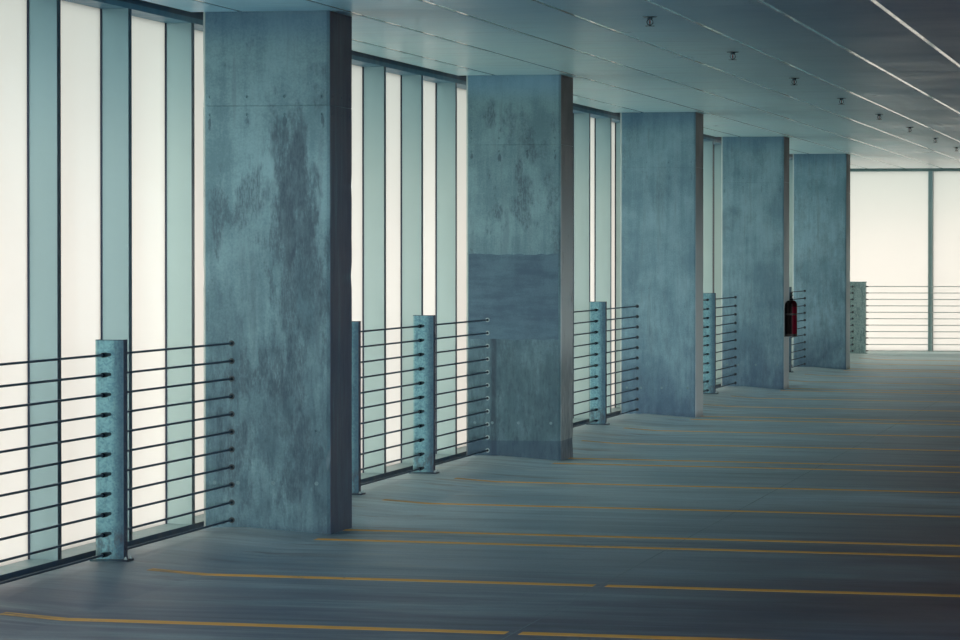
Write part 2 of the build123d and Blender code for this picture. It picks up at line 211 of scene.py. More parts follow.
@dataclass(frozen=True)
class Stain:
    """A stain, worn patch or coat of dirt, or a patch of painted light or shade: where a noise is high, and
    on its spots.
    """

    colour: str
    size_mm: tuple[float, float, float]
    start: float = 0.5
    full: float = 0.62
    cover: float = 0.5
    fleck_mm: tuple[float, float, float] | None = None
    stretches: tuple[Stretch, ...] = ()
    spots: tuple[tuple[float, float, float, float], ...] = ()

    @classmethod
    def even(cls, colour: str, cover: float, *stretches: Stretch, full: float = 0.2) -> Stain:
        """A stain or painted shading with no breaks in it, along its stretches."""
        return cls(colour, (400.0, 400.0, 400.0), 0.0, full, cover, stretches=stretches)

    def lay(self, add: Add, place: NodeSocket, under: Node) -> Node:
        """Lays the stain or painted shading over a colour.

        Args:
            add: Adds a node to the material's tree.
            place: Object coordinates, in metres.
            under: The colour that it lies on.

        Returns:
            The colour with the mark on it.
        """
        out = add("ShaderNodeVectorMath", {0: place}, operation="ABSOLUTE")
        noises = []
        for size_mm in (self.size_mm, self.fleck_mm or self.size_mm):
            scaled = add(
                "ShaderNodeVectorMath",
                {0: place, 1: tuple(size * MM for size in size_mm)}, operation="DIVIDE"
            )
            noises.append(add(
                "ShaderNodeTexNoise", {"Vector": scaled, "Scale": 1.0, "Detail": 5.0, "Roughness": 0.65}
            ))
        pattern, flecks = noises
        share = add(
            "ShaderNodeMapRange",
            {"Value": pattern, "From Min": self.start, "From Max": self.full}, **SMOOTH
        )
        for centre_x, centre_z, half_width, half_height in self.spots:
            away = add("ShaderNodeVectorMath", {0: out, 1: (centre_x, 0.0, centre_z)}, operation="SUBTRACT")
            away = add(
                "ShaderNodeVectorMath",
                {0: away, 1: (1 / half_width, 0.0, 1 / half_height)}, operation="MULTIPLY"
            )
            away = add("ShaderNodeVectorMath", {0: away}, operation="LENGTH")
            away = add("ShaderNodeMath", {0: pattern, 1: -5.0, 2: away}, operation="MULTIPLY_ADD")
            spot = add("ShaderNodeMapRange", {"Value": away, "From Min": -1.2, "From Max": -2.0}, **SMOOTH)
            share = add("ShaderNodeMath", {0: share, 1: spot}, operation="MAXIMUM")
        factors: list[Any] = [self.cover]
        if self.fleck_mm is not None:
            factors.append(add(
                "ShaderNodeMapRange",
                {"Value": flecks, "From Min": 0.38, "From Max": 0.6, "To Min": 0.4}, **SMOOTH
            ))
        beside = add("ShaderNodeSeparateXYZ", {"Vector": out}).outputs["X"]
        ways = add("ShaderNodeSeparateXYZ", {"Vector": place}).outputs
        for stretch in self.stretches:
            spot = add(
                "ShaderNodeMath",
                {0: pattern, 1: stretch.ragged,
                 2: beside if stretch.axis is Axis.OUT else ways[stretch.axis.value]},
                operation="MULTIPLY_ADD"
            )
            for edge, soft in ((stretch.low, stretch.soft), (stretch.high, -stretch.soft)):
                factors.append(add(
                    "ShaderNodeMapRange",
                    {"Value": spot, "From Min": edge - soft, "From Max": edge + soft}, **SMOOTH
                ))
        for factor in factors:
            share = add("ShaderNodeMath", {0: share, 1: factor}, operation="MULTIPLY")
        return add(
            "ShaderNodeMix", {MIX_FACTOR: share, MIX_A: under, MIX_B: linear(self.colour)}, **COLOURS
        )


@dataclass(frozen=True)
class Finish:
    """A finish: one material, made once and shared."""

    name: str
    stains: tuple[Stain, ...] = ()

    def aged(self, mark: str, *stains: Stain) -> Any:
        """The same finish with more stains, its name ending in a mark of its own."""
        return replace(self, name=f"{self.name}_{mark}", stains=(*self.stains, *stains))

    def stained(self, add: Add, place: NodeSocket, colour: Any) -> Any:
        """Lays the finish's stains over a colour.

        Args:
            add: Adds a node to the material's tree.
            place: Object coordinates, in metres.
            colour: The colour that they lie on.

        Returns:
            The colour with the stains on it.
        """
        for mark in self.stains:
            colour = mark.lay(add, place, colour)
        return colour

    def material(self) -> Material:
        """Makes the material, or returns the one that was made before.

        Returns:
            The material.
        """
        made = bpy.data.materials.get(self.name)
        if made is not None:
            return made
        material = bpy.data.materials.new(self.name)
        material.use_nodes = True
        material.node_tree.nodes.clear()
        add = partial(add_node, material.node_tree)
        place = add("ShaderNodeTexCoord").outputs["Object"]
        shader = self.shade(add, place)
        add("ShaderNodeOutputMaterial", {"Surface": shader})
        return material

    def shade(self, add: Add, place: NodeSocket) -> Node:
        """Builds the finish's nodes from object coordinates, and returns its shader."""
        raise NotImplementedError


@dataclass(frozen=True)
class Concrete(Finish):
    """Cast concrete: clouds of paste, run marks, stains, grain and air holes."""

    pale: str = "#86b0b9"
    dark: str = "#608893"
    stain: str = "#2c4151"
    cloud_mm: float = 260.0
    run_mm: tuple[float, float, float] = (34.0, 34.0, 420.0)
    run_share: float = 0.36
    run_cover: float = 0.3
    grain_mm: float = 6.0
    hole_mm: float = 70.0
    hole_share: float = 0.03
    smooth: float = 0.5
    rough: float = 0.78
    specular: float = 0.5
    bump_mm: float = 0.4

    def shade(self, add: Add, place: NodeSocket) -> Node:
        """Mixes pale and dark paste by clouds and runs, and lays stains and air holes on it.

        Args:
            add: Adds a node to the material's tree.
            place: Object coordinates, in metres.

        Returns:
            The shader.
        """
        noises = []
        for size_mm, detail in (
            ((self.cloud_mm,) * 3, 7.0), (self.run_mm, 5.0), ((self.grain_mm,) * 3, 4.0),
        ):
            scaled = add(
                "ShaderNodeVectorMath",
                {0: place, 1: tuple(size * MM for size in size_mm)}, operation="DIVIDE"
            )
            noises.append(add(
                "ShaderNodeTexNoise", {"Vector": scaled, "Scale": 1.0, "Detail": detail, "Roughness": 0.62}
            ))
        cloud, runs, grain = noises
        tone = cloud
        for share, other in ((self.run_share, runs), (0.2, grain)):
            tone = add("ShaderNodeMix", {0: share, 2: tone, 3: other}, data_type="FLOAT")
        colour: Any = linear(self.dark)
        for value, low, high, cover, over in (
            (tone, 0.4, 0.62, 1.0, self.pale), (runs, 0.54, 0.7, self.run_cover, self.stain),
        ):
            share = add(
                "ShaderNodeMapRange",
                {"Value": value, "From Min": low, "From Max": high, "To Max": cover}, **SMOOTH
            )
            colour = add(
                "ShaderNodeMix", {MIX_FACTOR: share, MIX_A: colour, MIX_B: linear(over)}, **COLOURS
            )
        colour = self.stained(add, place, colour)
        relief = grain
        if self.hole_share > 0:
            cells = add(
                "ShaderNodeTexVoronoi",
                {"Vector": place, "Scale": 1 / (self.hole_mm * MM), "Randomness": 1.0}
            )
            hole = add(
                "ShaderNodeMapRange",
                {"Value": cells, "From Min": self.hole_share, "From Max": self.hole_share * 0.6}, **SMOOTH
            )
            colour = add(
                "ShaderNodeMix", {MIX_FACTOR: hole, MIX_A: colour, MIX_B: linear(self.stain)}, **COLOURS
            )
            relief = add("ShaderNodeMath", {0: grain, 1: hole}, operation="SUBTRACT")
        normal = add("ShaderNodeBump", {"Strength": 0.6, "Distance": self.bump_mm * MM, "Height": relief})
        sheen = add(
            "ShaderNodeMapRange",
            {"Value": cloud, "From Min": 0.3, "From Max": 0.7, "To Min": self.smooth, "To Max": self.rough}
        )
        return add(
            "ShaderNodeBsdfPrincipled",
            {"Base Color": colour, "Roughness": sheen, "Normal": normal,
             "Specular IOR Level": self.specular}
        )


@dataclass(frozen=True)
class Panes(Finish):
    """White laminated glass: it lets light through, scattered, and has a soft surface gloss; painted shade
    darkens it towards the top.
    """

    tint: str = "#fbf7f1"
    face: str = "#eaeae6"
    dusty: str = "#dbe1dc"
    dust_from: float = 0.9
    dust_to: float = 1.8
    through: float = 0.72
    roughness: float = 0.22

    def shade(self, add: Add, place: NodeSocket) -> Node:
        """Mixes scattered light from behind with a glossy white face.

        Args:
            add: Adds a node to the material's tree.
            place: Object coordinates, in metres.

        Returns:
            The shader.
        """
        cloud = add("ShaderNodeTexNoise", {"Vector": place, "Scale": 1.3, "Detail": 2.0})
        share = add(
            "ShaderNodeMapRange",
            {"Value": cloud, "From Min": 0.3, "From Max": 0.7, "To Min": 0.0, "To Max": 0.16}
        )
        tint = add(
            "ShaderNodeMix",
            {MIX_FACTOR: share, MIX_A: linear(self.tint), MIX_B: linear(self.face)}, **COLOURS
        )
        height = add("ShaderNodeSeparateXYZ", {"Vector": place}).outputs["Z"]
        # Painted shade: the tint darkens towards the top of the panes.
        painted_zone = add(
            "ShaderNodeMapRange",
            {"Value": height, "From Min": self.dust_from, "From Max": self.dust_to, "To Max": 0.6}, **SMOOTH
        )
        tint = add("ShaderNodeMix", {MIX_FACTOR: painted_zone, MIX_A: tint, MIX_B: linear(self.dusty)}, **COLOURS)
        glow = add("ShaderNodeBsdfTranslucent", {"Color": tint})
        ripple = add("ShaderNodeBump", {"Strength": 0.08, "Distance": 0.4 * MM, "Height": cloud})
        gloss = add(
            "ShaderNodeBsdfPrincipled", {"Base Color": tint, "Roughness": self.roughness, "Normal": ripple}
        )
        return add("ShaderNodeMixShader", {0: self.through, 1: gloss, 2: glow})


@dataclass(frozen=True)
class Metal(Finish):
    """Metal, bare or coated: a fine uneven tone, a grain along one axis and a few scuffs."""

    colour: str = "#a8c0c2"
    shade_colour: str = "#84a0a4"
    metallic: float = 0.6
    roughness: float = 0.38
    grain: tuple[float, float, float] = (900.0, 900.0, 22.0)
    patch_mm: float = 60.0
    bump_mm: float = 0.05
    crystals_mm: float = 0.0

    def shade(self, add: Add, place: NodeSocket) -> Node:
        """Mixes two tones by cloudy patches, or by crystals on a zinc coat.

        Args:
            add: Adds a node to the material's tree.
            place: Object coordinates, in metres.

        Returns:
            The shader.
        """
        along = add("ShaderNodeMapping", {"Vector": place, "Scale": self.grain})
        lines = add("ShaderNodeTexNoise", {"Vector": along, "Scale": 1.0, "Detail": 3.0})
        patch = add(
            "ShaderNodeTexNoise", {"Vector": place, "Scale": 1 / (self.patch_mm * MM), "Detail": 4.0}
        )
        tone = patch
        if self.crystals_mm:
            facets = add(
                "ShaderNodeTexVoronoi", {"Vector": place, "Scale": 1 / (self.crystals_mm * MM)}
            ).outputs["Color"]
            facet = add("ShaderNodeSeparateXYZ", {"Vector": facets}).outputs["X"]
            tone = add("ShaderNodeMix", {0: 0.5, 2: patch, 3: facet}, data_type="FLOAT")
        share = add("ShaderNodeMapRange", {"Value": tone, "From Min": 0.3, "From Max": 0.7})
        colour = add(
            "ShaderNodeMix",
            {MIX_FACTOR: share, MIX_A: linear(self.shade_colour), MIX_B: linear(self.colour)}, **COLOURS
        )
        colour = self.stained(add, place, colour)
        sheen = add(
            "ShaderNodeMapRange",
            {"Value": tone, "From Min": 0.25, "From Max": 0.75, "To Min": self.roughness * 0.8,
             "To Max": self.roughness * 1.25}
        )
        normal = add("ShaderNodeBump", {"Strength": 0.5, "Distance": self.bump_mm * MM, "Height": lines})
        return add(
            "ShaderNodeBsdfPrincipled",
            {"Base Color": colour, "Metallic": self.metallic, "Roughness": sheen, "Normal": normal}
        )


@dataclass(frozen=True)
class Strand(Finish):
    """Stainless strand, its outer wires laid in a helix."""

    colour: str = "#3d5a68"
    groove: str = "#14242e"
    wires: float = 6.0
    lay_mm: float = 60.0
    roughness: float = 0.42

    def shade(self, add: Add, place: NodeSocket) -> Node:
        """Winds wires round the cable, from the ring attribute and the place along it.

        Args:
            add: Adds a node to the material's tree.
            place: Object coordinates, in metres.

        Returns:
            The shader.
        """
        ring = add("ShaderNodeAttribute", attribute_name=RING).outputs["Vector"]
        round_it = add("ShaderNodeSeparateXYZ", {"Vector": ring})
        angle = add(
            "ShaderNodeMath", {0: round_it.outputs["Y"], 1: round_it.outputs["X"]}, operation="ARCTAN2"
        )
        spot = add("ShaderNodeSeparateXYZ", {"Vector": place})
        along = add("ShaderNodeMath", {0: spot.outputs["X"], 1: spot.outputs["Y"]}, operation="ADD")
        wound = add(
            "ShaderNodeMath",
            {0: along, 1: math.tau * self.wires / (self.lay_mm * MM)}, operation="MULTIPLY"
        )
        phase = add("ShaderNodeMath", {0: angle, 1: self.wires, 2: wound}, operation="MULTIPLY_ADD")
        wave = add("ShaderNodeMath", {0: phase}, operation="SINE")
        share = add("ShaderNodeMapRange", {"Value": wave, "From Min": -1.0, "From Max": 0.6})
        colour = add(
            "ShaderNodeMix",
            {MIX_FACTOR: share, MIX_A: linear(self.groove), MIX_B: linear(self.colour)}, **COLOURS
        )
        normal = add("ShaderNodeBump", {"Strength": 0.7, "Distance": 0.5 * MM, "Height": share})
        return add(
            "ShaderNodeBsdfPrincipled",
            {"Base Color": colour, "Metallic": 0.7, "Roughness": self.roughness, "Normal": normal}
        )


@dataclass(frozen=True)
class Coat(Finish):
    """A coat of paint, mastic or enamel, worn through to what is under it."""

    colour: str = "#c79a45"
    worn: str = "#3c4a55"
    wear_mm: float = 14.0
    wear_from: float = 0.6
    roughness: float = 0.5
    clear: float = 0.0
    specular: float = 0.5
    bump_mm: float = 0.2

    def shade(self, add: Add, place: NodeSocket) -> Node:
        """Breaks the coat up with wear of two sizes.

        Args:
            add: Adds a node to the material's tree.
            place: Object coordinates, in metres.

        Returns:
            The shader.
        """
        fine = add(
            "ShaderNodeTexNoise",
            {"Vector": place, "Scale": 1 / (self.wear_mm * MM), "Detail": 6.0, "Roughness": 0.7}
        )
        broad = add(
            "ShaderNodeTexNoise", {"Vector": place, "Scale": 0.11 / (self.wear_mm * MM), "Detail": 3.0}
        )
        both = add("ShaderNodeMix", {0: 0.45, 2: fine, 3: broad}, data_type="FLOAT")
        cover = add(
            "ShaderNodeMapRange",
            {"Value": both, "From Min": self.wear_from - 0.05, "From Max": self.wear_from + 0.05}, **SMOOTH
        )
        colour = add(
            "ShaderNodeMix",
            {MIX_FACTOR: cover, MIX_A: linear(self.colour), MIX_B: linear(self.worn)}, **COLOURS
        )
        normal = add("ShaderNodeBump", {"Strength": 0.5, "Distance": self.bump_mm * MM, "Height": fine})
        return add(
            "ShaderNodeBsdfPrincipled",
            {"Base Color": self.stained(add, place, colour), "Roughness": self.roughness,
             "Coat Weight": self.clear, "Specular IOR Level": self.specular, "Normal": normal}
        )


# Column concrete, cast against plywood: pale paste with dark runs and flecks.
COLUMN_CONCRETE = Concrete("form_cast_column_concrete")
# Skim coat, trowelled over a form joint: the same paste, smoother and darker.
SKIM_COAT = Concrete(
    "trowelled_skim_coat", pale="#587c8c", dark="#3f5f74", stain="#35526a", cloud_mm=120.0,
    run_mm=(160.0, 160.0, 22.0), run_share=0.4, run_cover=0.2, hole_share=0.0, bump_mm=0.15,
)
# Floor concrete, power-trowelled and worn by tyres: marks across the deck, and a low gloss; with painted
# light and shade.
FLOOR_CONCRETE = Concrete(
    "power_trowelled_floor", pale="#bfdfea", dark="#86a8ba", stain="#4a6175", cloud_mm=700.0,
    run_mm=(900.0, 110.0, 110.0), run_share=0.5, run_cover=0.34, grain_mm=5.0, hole_share=0.0,
    smooth=0.38, rough=0.54, specular=0.24, bump_mm=0.2,
    stains=(
        Stain("#4a565f", (1900.0, 420.0, 420.0), 0.52, 0.62, 0.35, fleck_mm=(90.0, 30.0, 30.0)),
        Stain("#6b5a58", (420.0, 210.0, 210.0), 0.55, 0.66, 0.55,
              stretches=(Stretch(Axis.OUT, 4.2, 6.0, 0.2),)),
        # Painted light: the floor paler towards the glazing.
        Stain("#d3e0d4", (520.0, 260.0, 260.0), 0.57, 0.7, 0.4,
              stretches=(Stretch(Axis.OUT, 3.7, 6.0, 0.4),)),
        # Painted light: paler still beside the wash.
        Stain("#cfdcd6", (300.0, 300.0, 300.0), 0.1, 0.6, 0.4,
              stretches=(Stretch(Axis.OUT, 4.5, 6.0, 0.12),)),
        # Painted shade: dark blue near the open end.
        Stain("#1d1e54", (1200.0, 300.0, 300.0), 0.1, 0.6, 0.86,
              stretches=(Stretch(Axis.ALONG, BEFORE, -9.6, 2.2), Stretch(Axis.ALONG, -11.9, BEYOND, 0.8))),
        # Painted shade: dark maroon over the aisle.
        Stain("#4f1f35", (2500.0, 1500.0, 1500.0), 0.2, 0.55, 0.84,
              stretches=(Stretch(Axis.OUT, -1.0, 3.2, 1.0), Stretch(Axis.ALONG, -11.9, BEYOND, 0.8))),
        Stain("#34404e", (1500.0, 60.0, 60.0), 0.55, 0.7, 0.26),
        # Painted light: paler towards the bright end wall.
        Stain("#e2f6ea", (900.0, 300.0, 300.0), 0.0, 0.5, 0.4,
              stretches=(Stretch(Axis.ALONG, 8.5, BEYOND, 2.5),)),
    ),
)
# Ceiling concrete, cast on narrow boards and sealed: paler, with board marks across the deck; with painted
# light and shade.
CEILING_CONCRETE = Concrete(
    "board_cast_ceiling", pale="#d2fcff", dark="#c0f2fb", stain="#9cd2e0", cloud_mm=600.0,
    run_mm=(330.0, 45.0, 45.0), run_share=0.6, run_cover=0.36, hole_share=0.02,
    smooth=0.27, rough=0.43, specular=0.8, bump_mm=0.15,
    stains=(
        Stain("#84a8b3", (700.0, 260.0, 260.0), 0.55, 0.65, 0.22, fleck_mm=(60.0, 14.0, 14.0)),
        Stain("#5f93a6", (420.0, 16.0, 16.0), 0.53, 0.66, 0.36),
        # Painted light: a bright blue cast near the open end.
        Stain("#46b2ee", (900.0, 900.0, 900.0), 0.0, 0.3, 0.46,
              stretches=(Stretch(Axis.ALONG, BEFORE, -7.6, 1.6),)),
        # Painted light: white towards the bright end wall.
        Stain("#ffffff", (900.0, 900.0, 900.0), 0.0, 0.3, 0.8,
              stretches=(Stretch(Axis.ALONG, 9.0, BEYOND, 2.0),)),
        # Painted shade: dark blue over the aisle, short of the far end.
        Stain("#0e3580", (900.0, 900.0, 900.0), 0.0, 0.3, 0.93,
              stretches=(Stretch(Axis.OUT, -1.0, 3.25, 0.8), Stretch(Axis.ALONG, BEFORE, 9.0, 2.5))),
    ),
)
# Joint filler of the ceiling, struck smooth and sealed: it mirrors the bright end wall.
JOINT_FILLER = Concrete(
    "sealed_joint_filler", pale="#a9c6cb", dark="#8fb0b9", stain="#6d909c", cloud_mm=200.0,
    hole_share=0.0, run_cover=0.1, smooth=0.06, rough=0.14, specular=0.8, bump_mm=0.01,
)
# Slab concrete, struck off and left as cast: plain grey with broad blotches.
SLAB_CONCRETE = Concrete(
    "as_cast_slab_concrete", pale="#a8b0b0", dark="#8b9597", stain="#6b7678", cloud_mm=520.0,
    run_mm=(240.0, 90.0, 90.0), run_share=0.4, run_cover=0.25, smooth=0.88, rough=0.97, specular=0.12,
    stains=(Stain("#6b7678", (1500.0, 900.0, 900.0), 0.55, 0.65, 0.3, fleck_mm=(30.0, 30.0, 30.0)),),
)
# White laminated glass with a satin face.
WHITE_GLASS = Panes("white_laminated_glass")
# Clear-anodised aluminium: pale, with the lines of its die along its length; painted shade on the nearest
# mullions and towards the top.
ANODISED = Metal(
    "anodised_aluminium", colour="#b6cfce", shade_colour="#adc8c8", metallic=1.0, roughness=0.34,
    patch_mm=400.0,
    stains=(
        # Painted shade on the mullions nearest the open end.
        Stain.even("#799daa", 0.5, Stretch(Axis.ALONG, BEFORE, -8.75, 0.2)),
        # Painted shade towards the top.
        Stain.even("#5f97ae", 0.38, Stretch(Axis.UP, 1.45, ABOVE, 0.25)),
    ),
)
# Polyester powder coat, dark blue, on the sill and head rails.
RAIL_COAT = Metal(
    "powder_coated_rail", colour="#2f5273", shade_colour="#25415e", metallic=0.0, roughness=0.42,
    grain=(300.0, 300.0, 300.0), bump_mm=0.08,
)
# The end wall's head rail, in a pale, half-metallic copy of the rail coat: painted light, so that it shows
# pale against the panes.
END_RAIL = replace(
    RAIL_COAT, name="anodised_end_rail", colour="#86a8ab", shade_colour="#76979b", metallic=0.5,
)
# Hot-dip zinc: crystals a centimetre across, dulled by weather.
ZINC = Metal(
    "hot_dip_galvanised_steel", colour="#84bcc4", shade_colour="#669bab", metallic=0.3,
    roughness=0.5, crystals_mm=5.0, grain=(200.0, 200.0, 60.0), patch_mm=110.0,
)
# The same zinc on the wide corner posts, paler and warmer: painted light near the bright end wall, with
# flecks of grime from handling.
CORNER_ZINC = replace(
    ZINC, name="dulled_galvanised_steel", colour="#b7d3d2", shade_colour="#8cacb0",
    stains=(Stain("#4a6266", (14.0, 14.0, 60.0), 0.5, 0.64, 0.6, fleck_mm=(7.0, 7.0, 16.0)),),
)
# Stainless strand, darkened by handling.
STRAND = Strand("stainless_strand", colour="#2f5574", groove="#10243a")
# Galvanised strand of the end barrier, made pale: painted light from the bright panes behind it.
PALE_STRAND = Strand("galvanised_strand", colour="#dfe6e2", groove="#a9b5b4")
# Swaged fittings in dark, oiled stainless steel.
SWAGED = Metal(
    "swaged_stainless_steel", colour="#1c2935", shade_colour="#0d151d", metallic=0.8,
    roughness=0.4, patch_mm=14.0, grain=(60.0, 700.0, 60.0),
)
# Zinc-plated washers and nuts, dull beside the strand.
PLATED = Metal(
    "zinc_plated_steel", colour="#b5cdcf", shade_colour="#86a0a6", metallic=0.3, roughness=0.5,
    patch_mm=9.0,
)
# Chrome-plated brass, in the shade of the ceiling.
CHROME = Metal(
    "chrome_plated_brass", colour="#5d7580", shade_colour="#33464f", metallic=1.0,
    roughness=0.24, patch_mm=12.0, grain=(50.0, 50.0, 50.0), bump_mm=0.02,
)
# Red stove enamel, dulled, and chipped at few places.
ENAMEL = Coat(
    "stove_enamel_red", colour="#5a0b20", worn="#2c0a10", wear_from=0.68, roughness=0.36,
    specular=0.06, bump_mm=0.04,
)
# Moulded black plastic: foot and grips.
BLACK_PLASTIC = Coat(
    "moulded_black_plastic", colour="#0e1013", worn="#1a1d20", roughness=0.42, bump_mm=0.05,
)
# White dial face of the gauge.
DIAL = Coat("printed_dial", colour="#f4f6f3", worn="#e4e8e5", wear_from=0.7, roughness=0.3, bump_mm=0.01)
# Painted bracket.
BRACKET_PAINT = Coat("bracket_paint_grey", colour="#58686d", worn="#39454a", roughness=0.45)
# Road paint, chlorinated rubber, worn by tyres down to the concrete.
ROAD_PAINT = Coat("road_paint_yellow", colour="#eeb548", worn="#8d8468", wear_from=0.64, roughness=0.55)
# Polyurethane joint sealant, dusty.
SEALANT = Coat("joint_sealant", colour="#6a7f8b", worn="#7b909a", wear_from=0.48, roughness=0.6)
# Lines where form boards met: cement milk, a little darker than the slab.
FORM_MARK = Coat("form_mark_paste", colour="#7d8788", worn="#949c9b", wear_from=0.5, roughness=0.8)
# EPDM rubber, extruded: black with a low sheen.
RUBBER = Coat("extruded_rubber", colour="#132a45", worn="#1d3854", roughness=0.5, bump_mm=0.05)
# Mortar, rubbed into the holes of the form ties.
MORTAR = Coat("rubbed_mortar", colour="#6f9097", worn="#52727c", wear_mm=4.0, roughness=0.8)
# Glass bulb with its red liquid.
BULB = Coat("bulb_liquid_red", colour="#8a1c16", worn="#6d1411", roughness=0.1, clear=0.5, bump_mm=0.01)
# Blotches and run marks on the second columns' near faces: x, z, half width and half height.
SECOND_COLUMN_MARKS = (
    Stain("#34495a", (60.0, 60.0, 200.0), 0.72, 0.92, 0.6, spots=(
        (4.5, 1.34, 0.03, 0.07), (4.495, 1.26, 0.056, 0.1), (4.487, 1.17, 0.066, 0.11),
        (4.488, 1.06, 0.06, 0.1),
    )),
    Stain("#2b3f52", (30.0, 30.0, 110.0), 0.62, 0.82, 0.56, (3.5, 3.5, 17.0), spots=(
        (4.49, 1.24, 0.06, 0.13), (4.49, 1.1, 0.075, 0.13), (4.46, 0.95, 0.065, 0.15),
        (4.702, 1.11, 0.028, 0.09), (4.605, 1.14, 0.03, 0.08), (4.655, 1.09, 0.028, 0.04),
        (4.4, 0.87, 0.03, 0.12), (4.512, 0.66, 0.06, 0.1), (4.64, 0.62, 0.06, 0.06),
        (4.45, 0.4, 0.06, 0.1), (4.66, 0.42, 0.05, 0.1),
    )),
)
THIRD_COLUMN_MARKS = Stain(
    "#2c4254", (60.0, 60.0, 130.0), 0.6, 0.7, 0.6, (6.0, 6.0, 20.0),
    spots=((4.653, 1.55, 0.02, 0.06), (4.52, 1.2, 0.06, 0.1), (4.62, 1.14, 0.04, 0.06)),
)
# Matt backdrop paint.
STUDIO_FLOOR = Coat(
    "studio_floor_paint", colour="#d3d5d4", worn="#cdcfce", wear_mm=200.0, roughness=0.9, bump_mm=0.0,
)

NODE_FINISHES: dict[str, tuple[Finish, Slot]] = {
    "deck_slab": (SLAB_CONCRETE, Slot.SLAB),
    "upper_slab": (SLAB_CONCRETE, Slot.SLAB),
    "floor_screed": (FLOOR_CONCRETE, Slot.FLOOR),
    "end_kerb": (FLOOR_CONCRETE, Slot.FLOOR),
    "ceiling_bay": (CEILING_CONCRETE, Slot.CEILING),
    "column": (COLUMN_CONCRETE, Slot.COLUMN),
    "mullions": (ANODISED, Slot.MULLION),
    "sill_rail": (RAIL_COAT, Slot.RAIL),
    "head_rail": (RAIL_COAT, Slot.RAIL),
    "glass": (WHITE_GLASS, Slot.GLASS),
    "barrier_posts": (ZINC, Slot.GALVANISED),
    "corner_posts": (ZINC, Slot.GALVANISED),
    "barrier_cables": (STRAND, Slot.CABLE),
    "sprinklers": (CHROME, Slot.SPRINKLER),
    "fire_extinguisher": (ENAMEL, Slot.ENAMEL),
    "extinguisher_bracket": (BRACKET_PAINT, Slot.BRACKET),
}


class Shell:
    """Gathers closed shapes into one mesh, and makes an object of them."""

    def __init__(self) -> None:
        """Starts an empty mesh."""
        self.bm = bmesh.new()

    def loft(self, rings: Sequence[Sequence[Vector]]) -> None:
        """Joins closed rings of as many points each, and caps the first and the last.

        Args:
            rings: The rings in order, each a list of points.
        """
        made = [[self.bm.verts.new(point) for point in ring] for ring in rings]
        for lower, upper in zip(made, made[1:]):
            for i in range(len(lower)):
                j = (i + 1) % len(lower)
                self.bm.faces.new((lower[i], lower[j], upper[j], upper[i]))
        self.bm.faces.new(list(reversed(made[0])))
        self.bm.faces.new(made[-1])

    def box(self, low: Sequence[float], high: Sequence[float], bevel: float = 0.0) -> None:
        """Adds a box, its upright edges cut off by a bevel if one is given."""
        plan = chamfered(low[0], high[0], low[1], high[1], bevel)
        self.loft([[Vector((x, y, z)) for x, y in plan] for z in (low[2], high[2])])

    def turned(self, outline: Sequence[tuple[float, float]], sides: int,
               place: Matrix = Matrix.Identity(4)) -> None:
        """Turns an outline of (radius, z) points about Z, and puts the shape in its place."""
        self.loft([[place @ Vector((x, y, z)) for x, y in circle(r, sides)] for r, z in outline])

    def tube(self, route: Sequence[Vector], radius: float, sides: int) -> None:
        """Adds a tube along a route.

        Args:
            route: Its points.
            radius: Radius of the tube.
            sides: Faces round it.
        """
        rings = []
        for i, point in enumerate(route):
            ahead = route[min(i + 1, len(route) - 1)] - route[max(i - 1, 0)]
            turn = ahead.to_track_quat("Z", "Y").to_matrix()
            rings.append([point + turn @ Vector((x, y, 0)) for x, y in circle(radius, sides)])
        self.loft(rings)

    def part(self, name: str, smooth_degrees: float = 35.0) -> Object:
        """Makes an object of the mesh, its faces outward and its flat edges kept sharp.

        Args:
            name: The object's name.
            smooth_degrees: Edges that turn less than this look rounded.

        Returns:
            The new object.
        """
        bmesh.ops.recalc_face_normals(self.bm, faces=self.bm.faces[:])
        mesh = bpy.data.meshes.new(name)
        self.bm.to_mesh(mesh)
        self.bm.free()
        smooth(mesh, smooth_degrees)
        return link_new(name, mesh)


def smooth(mesh: Mesh, degrees: float) -> None:
    """Lets a mesh look round, but for its edges that turn by more than some degrees."""
    mesh.polygons.foreach_set("use_smooth", [True] * len(mesh.polygons))
    mesh.set_sharp_from_angle(angle=math.radians(degrees))


def chamfered(x0: float, x1: float, y0: float, y1: float, cut: float) -> list[tuple[float, float]]:
    """The plan of a rectangle with its corners cut off, or the plain rectangle for a cut of 0.

    Args:
        x0: Low X.
        x1: High X.
        y0: Low Y.
        y1: High Y.
        cut: How far each corner is cut back.

    Returns:
        The plan's corners in order.
    """
    if cut <= 0:
        return [(x0, y0), (x1, y0), (x1, y1), (x0, y1)]
    return [
        (x0 + cut, y0), (x1 - cut, y0), (x1, y0 + cut), (x1, y1 - cut),
        (x1 - cut, y1), (x0 + cut, y1), (x0, y1 - cut), (x0, y0 + cut),
    ]


def dress(piece: Object, finish: Finish, slot: Slot, *replaced: str) -> None:
    """Gives a new piece its finish and its body, and reports it.

    Args:
        piece: The piece.
        finish: Its finish.
        slot: The record's slot that the finish belongs to; not used.
        *replaced: CAD nodes that it stands for.
    """
    piece.data.materials.clear()
    piece.data.materials.append(finish.material())
    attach(piece, BODY)
    if replaced:
        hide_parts(*replaced)
    piece.data.calc_loop_triangles()
    LOG.info("%s: %d triangles, %s", piece.name, len(piece.data.loop_triangles), finish.name)


def new_tree(name: str, **sockets: str) -> tuple[NodeTree, Add, Any]:
    """Starts a geometry tree with named inputs.

    Args:
        name: The tree's name.
        **sockets: Kind of each input after the geometry.

    Returns:
        The tree, what adds a node to it, and the outputs that give its inputs.
    """
    tree = bpy.data.node_groups.new(name, "GeometryNodeTree")
    for label, kind in {"Geometry": "Geometry", **sockets}.items():
        tree.interface.new_socket(label, in_out="INPUT", socket_type=f"NodeSocket{kind}")
    tree.interface.new_socket("Geometry", in_out="OUTPUT", socket_type="NodeSocketGeometry")
    add = partial(add_node, tree)
    return tree, add, add("NodeGroupInput").outputs


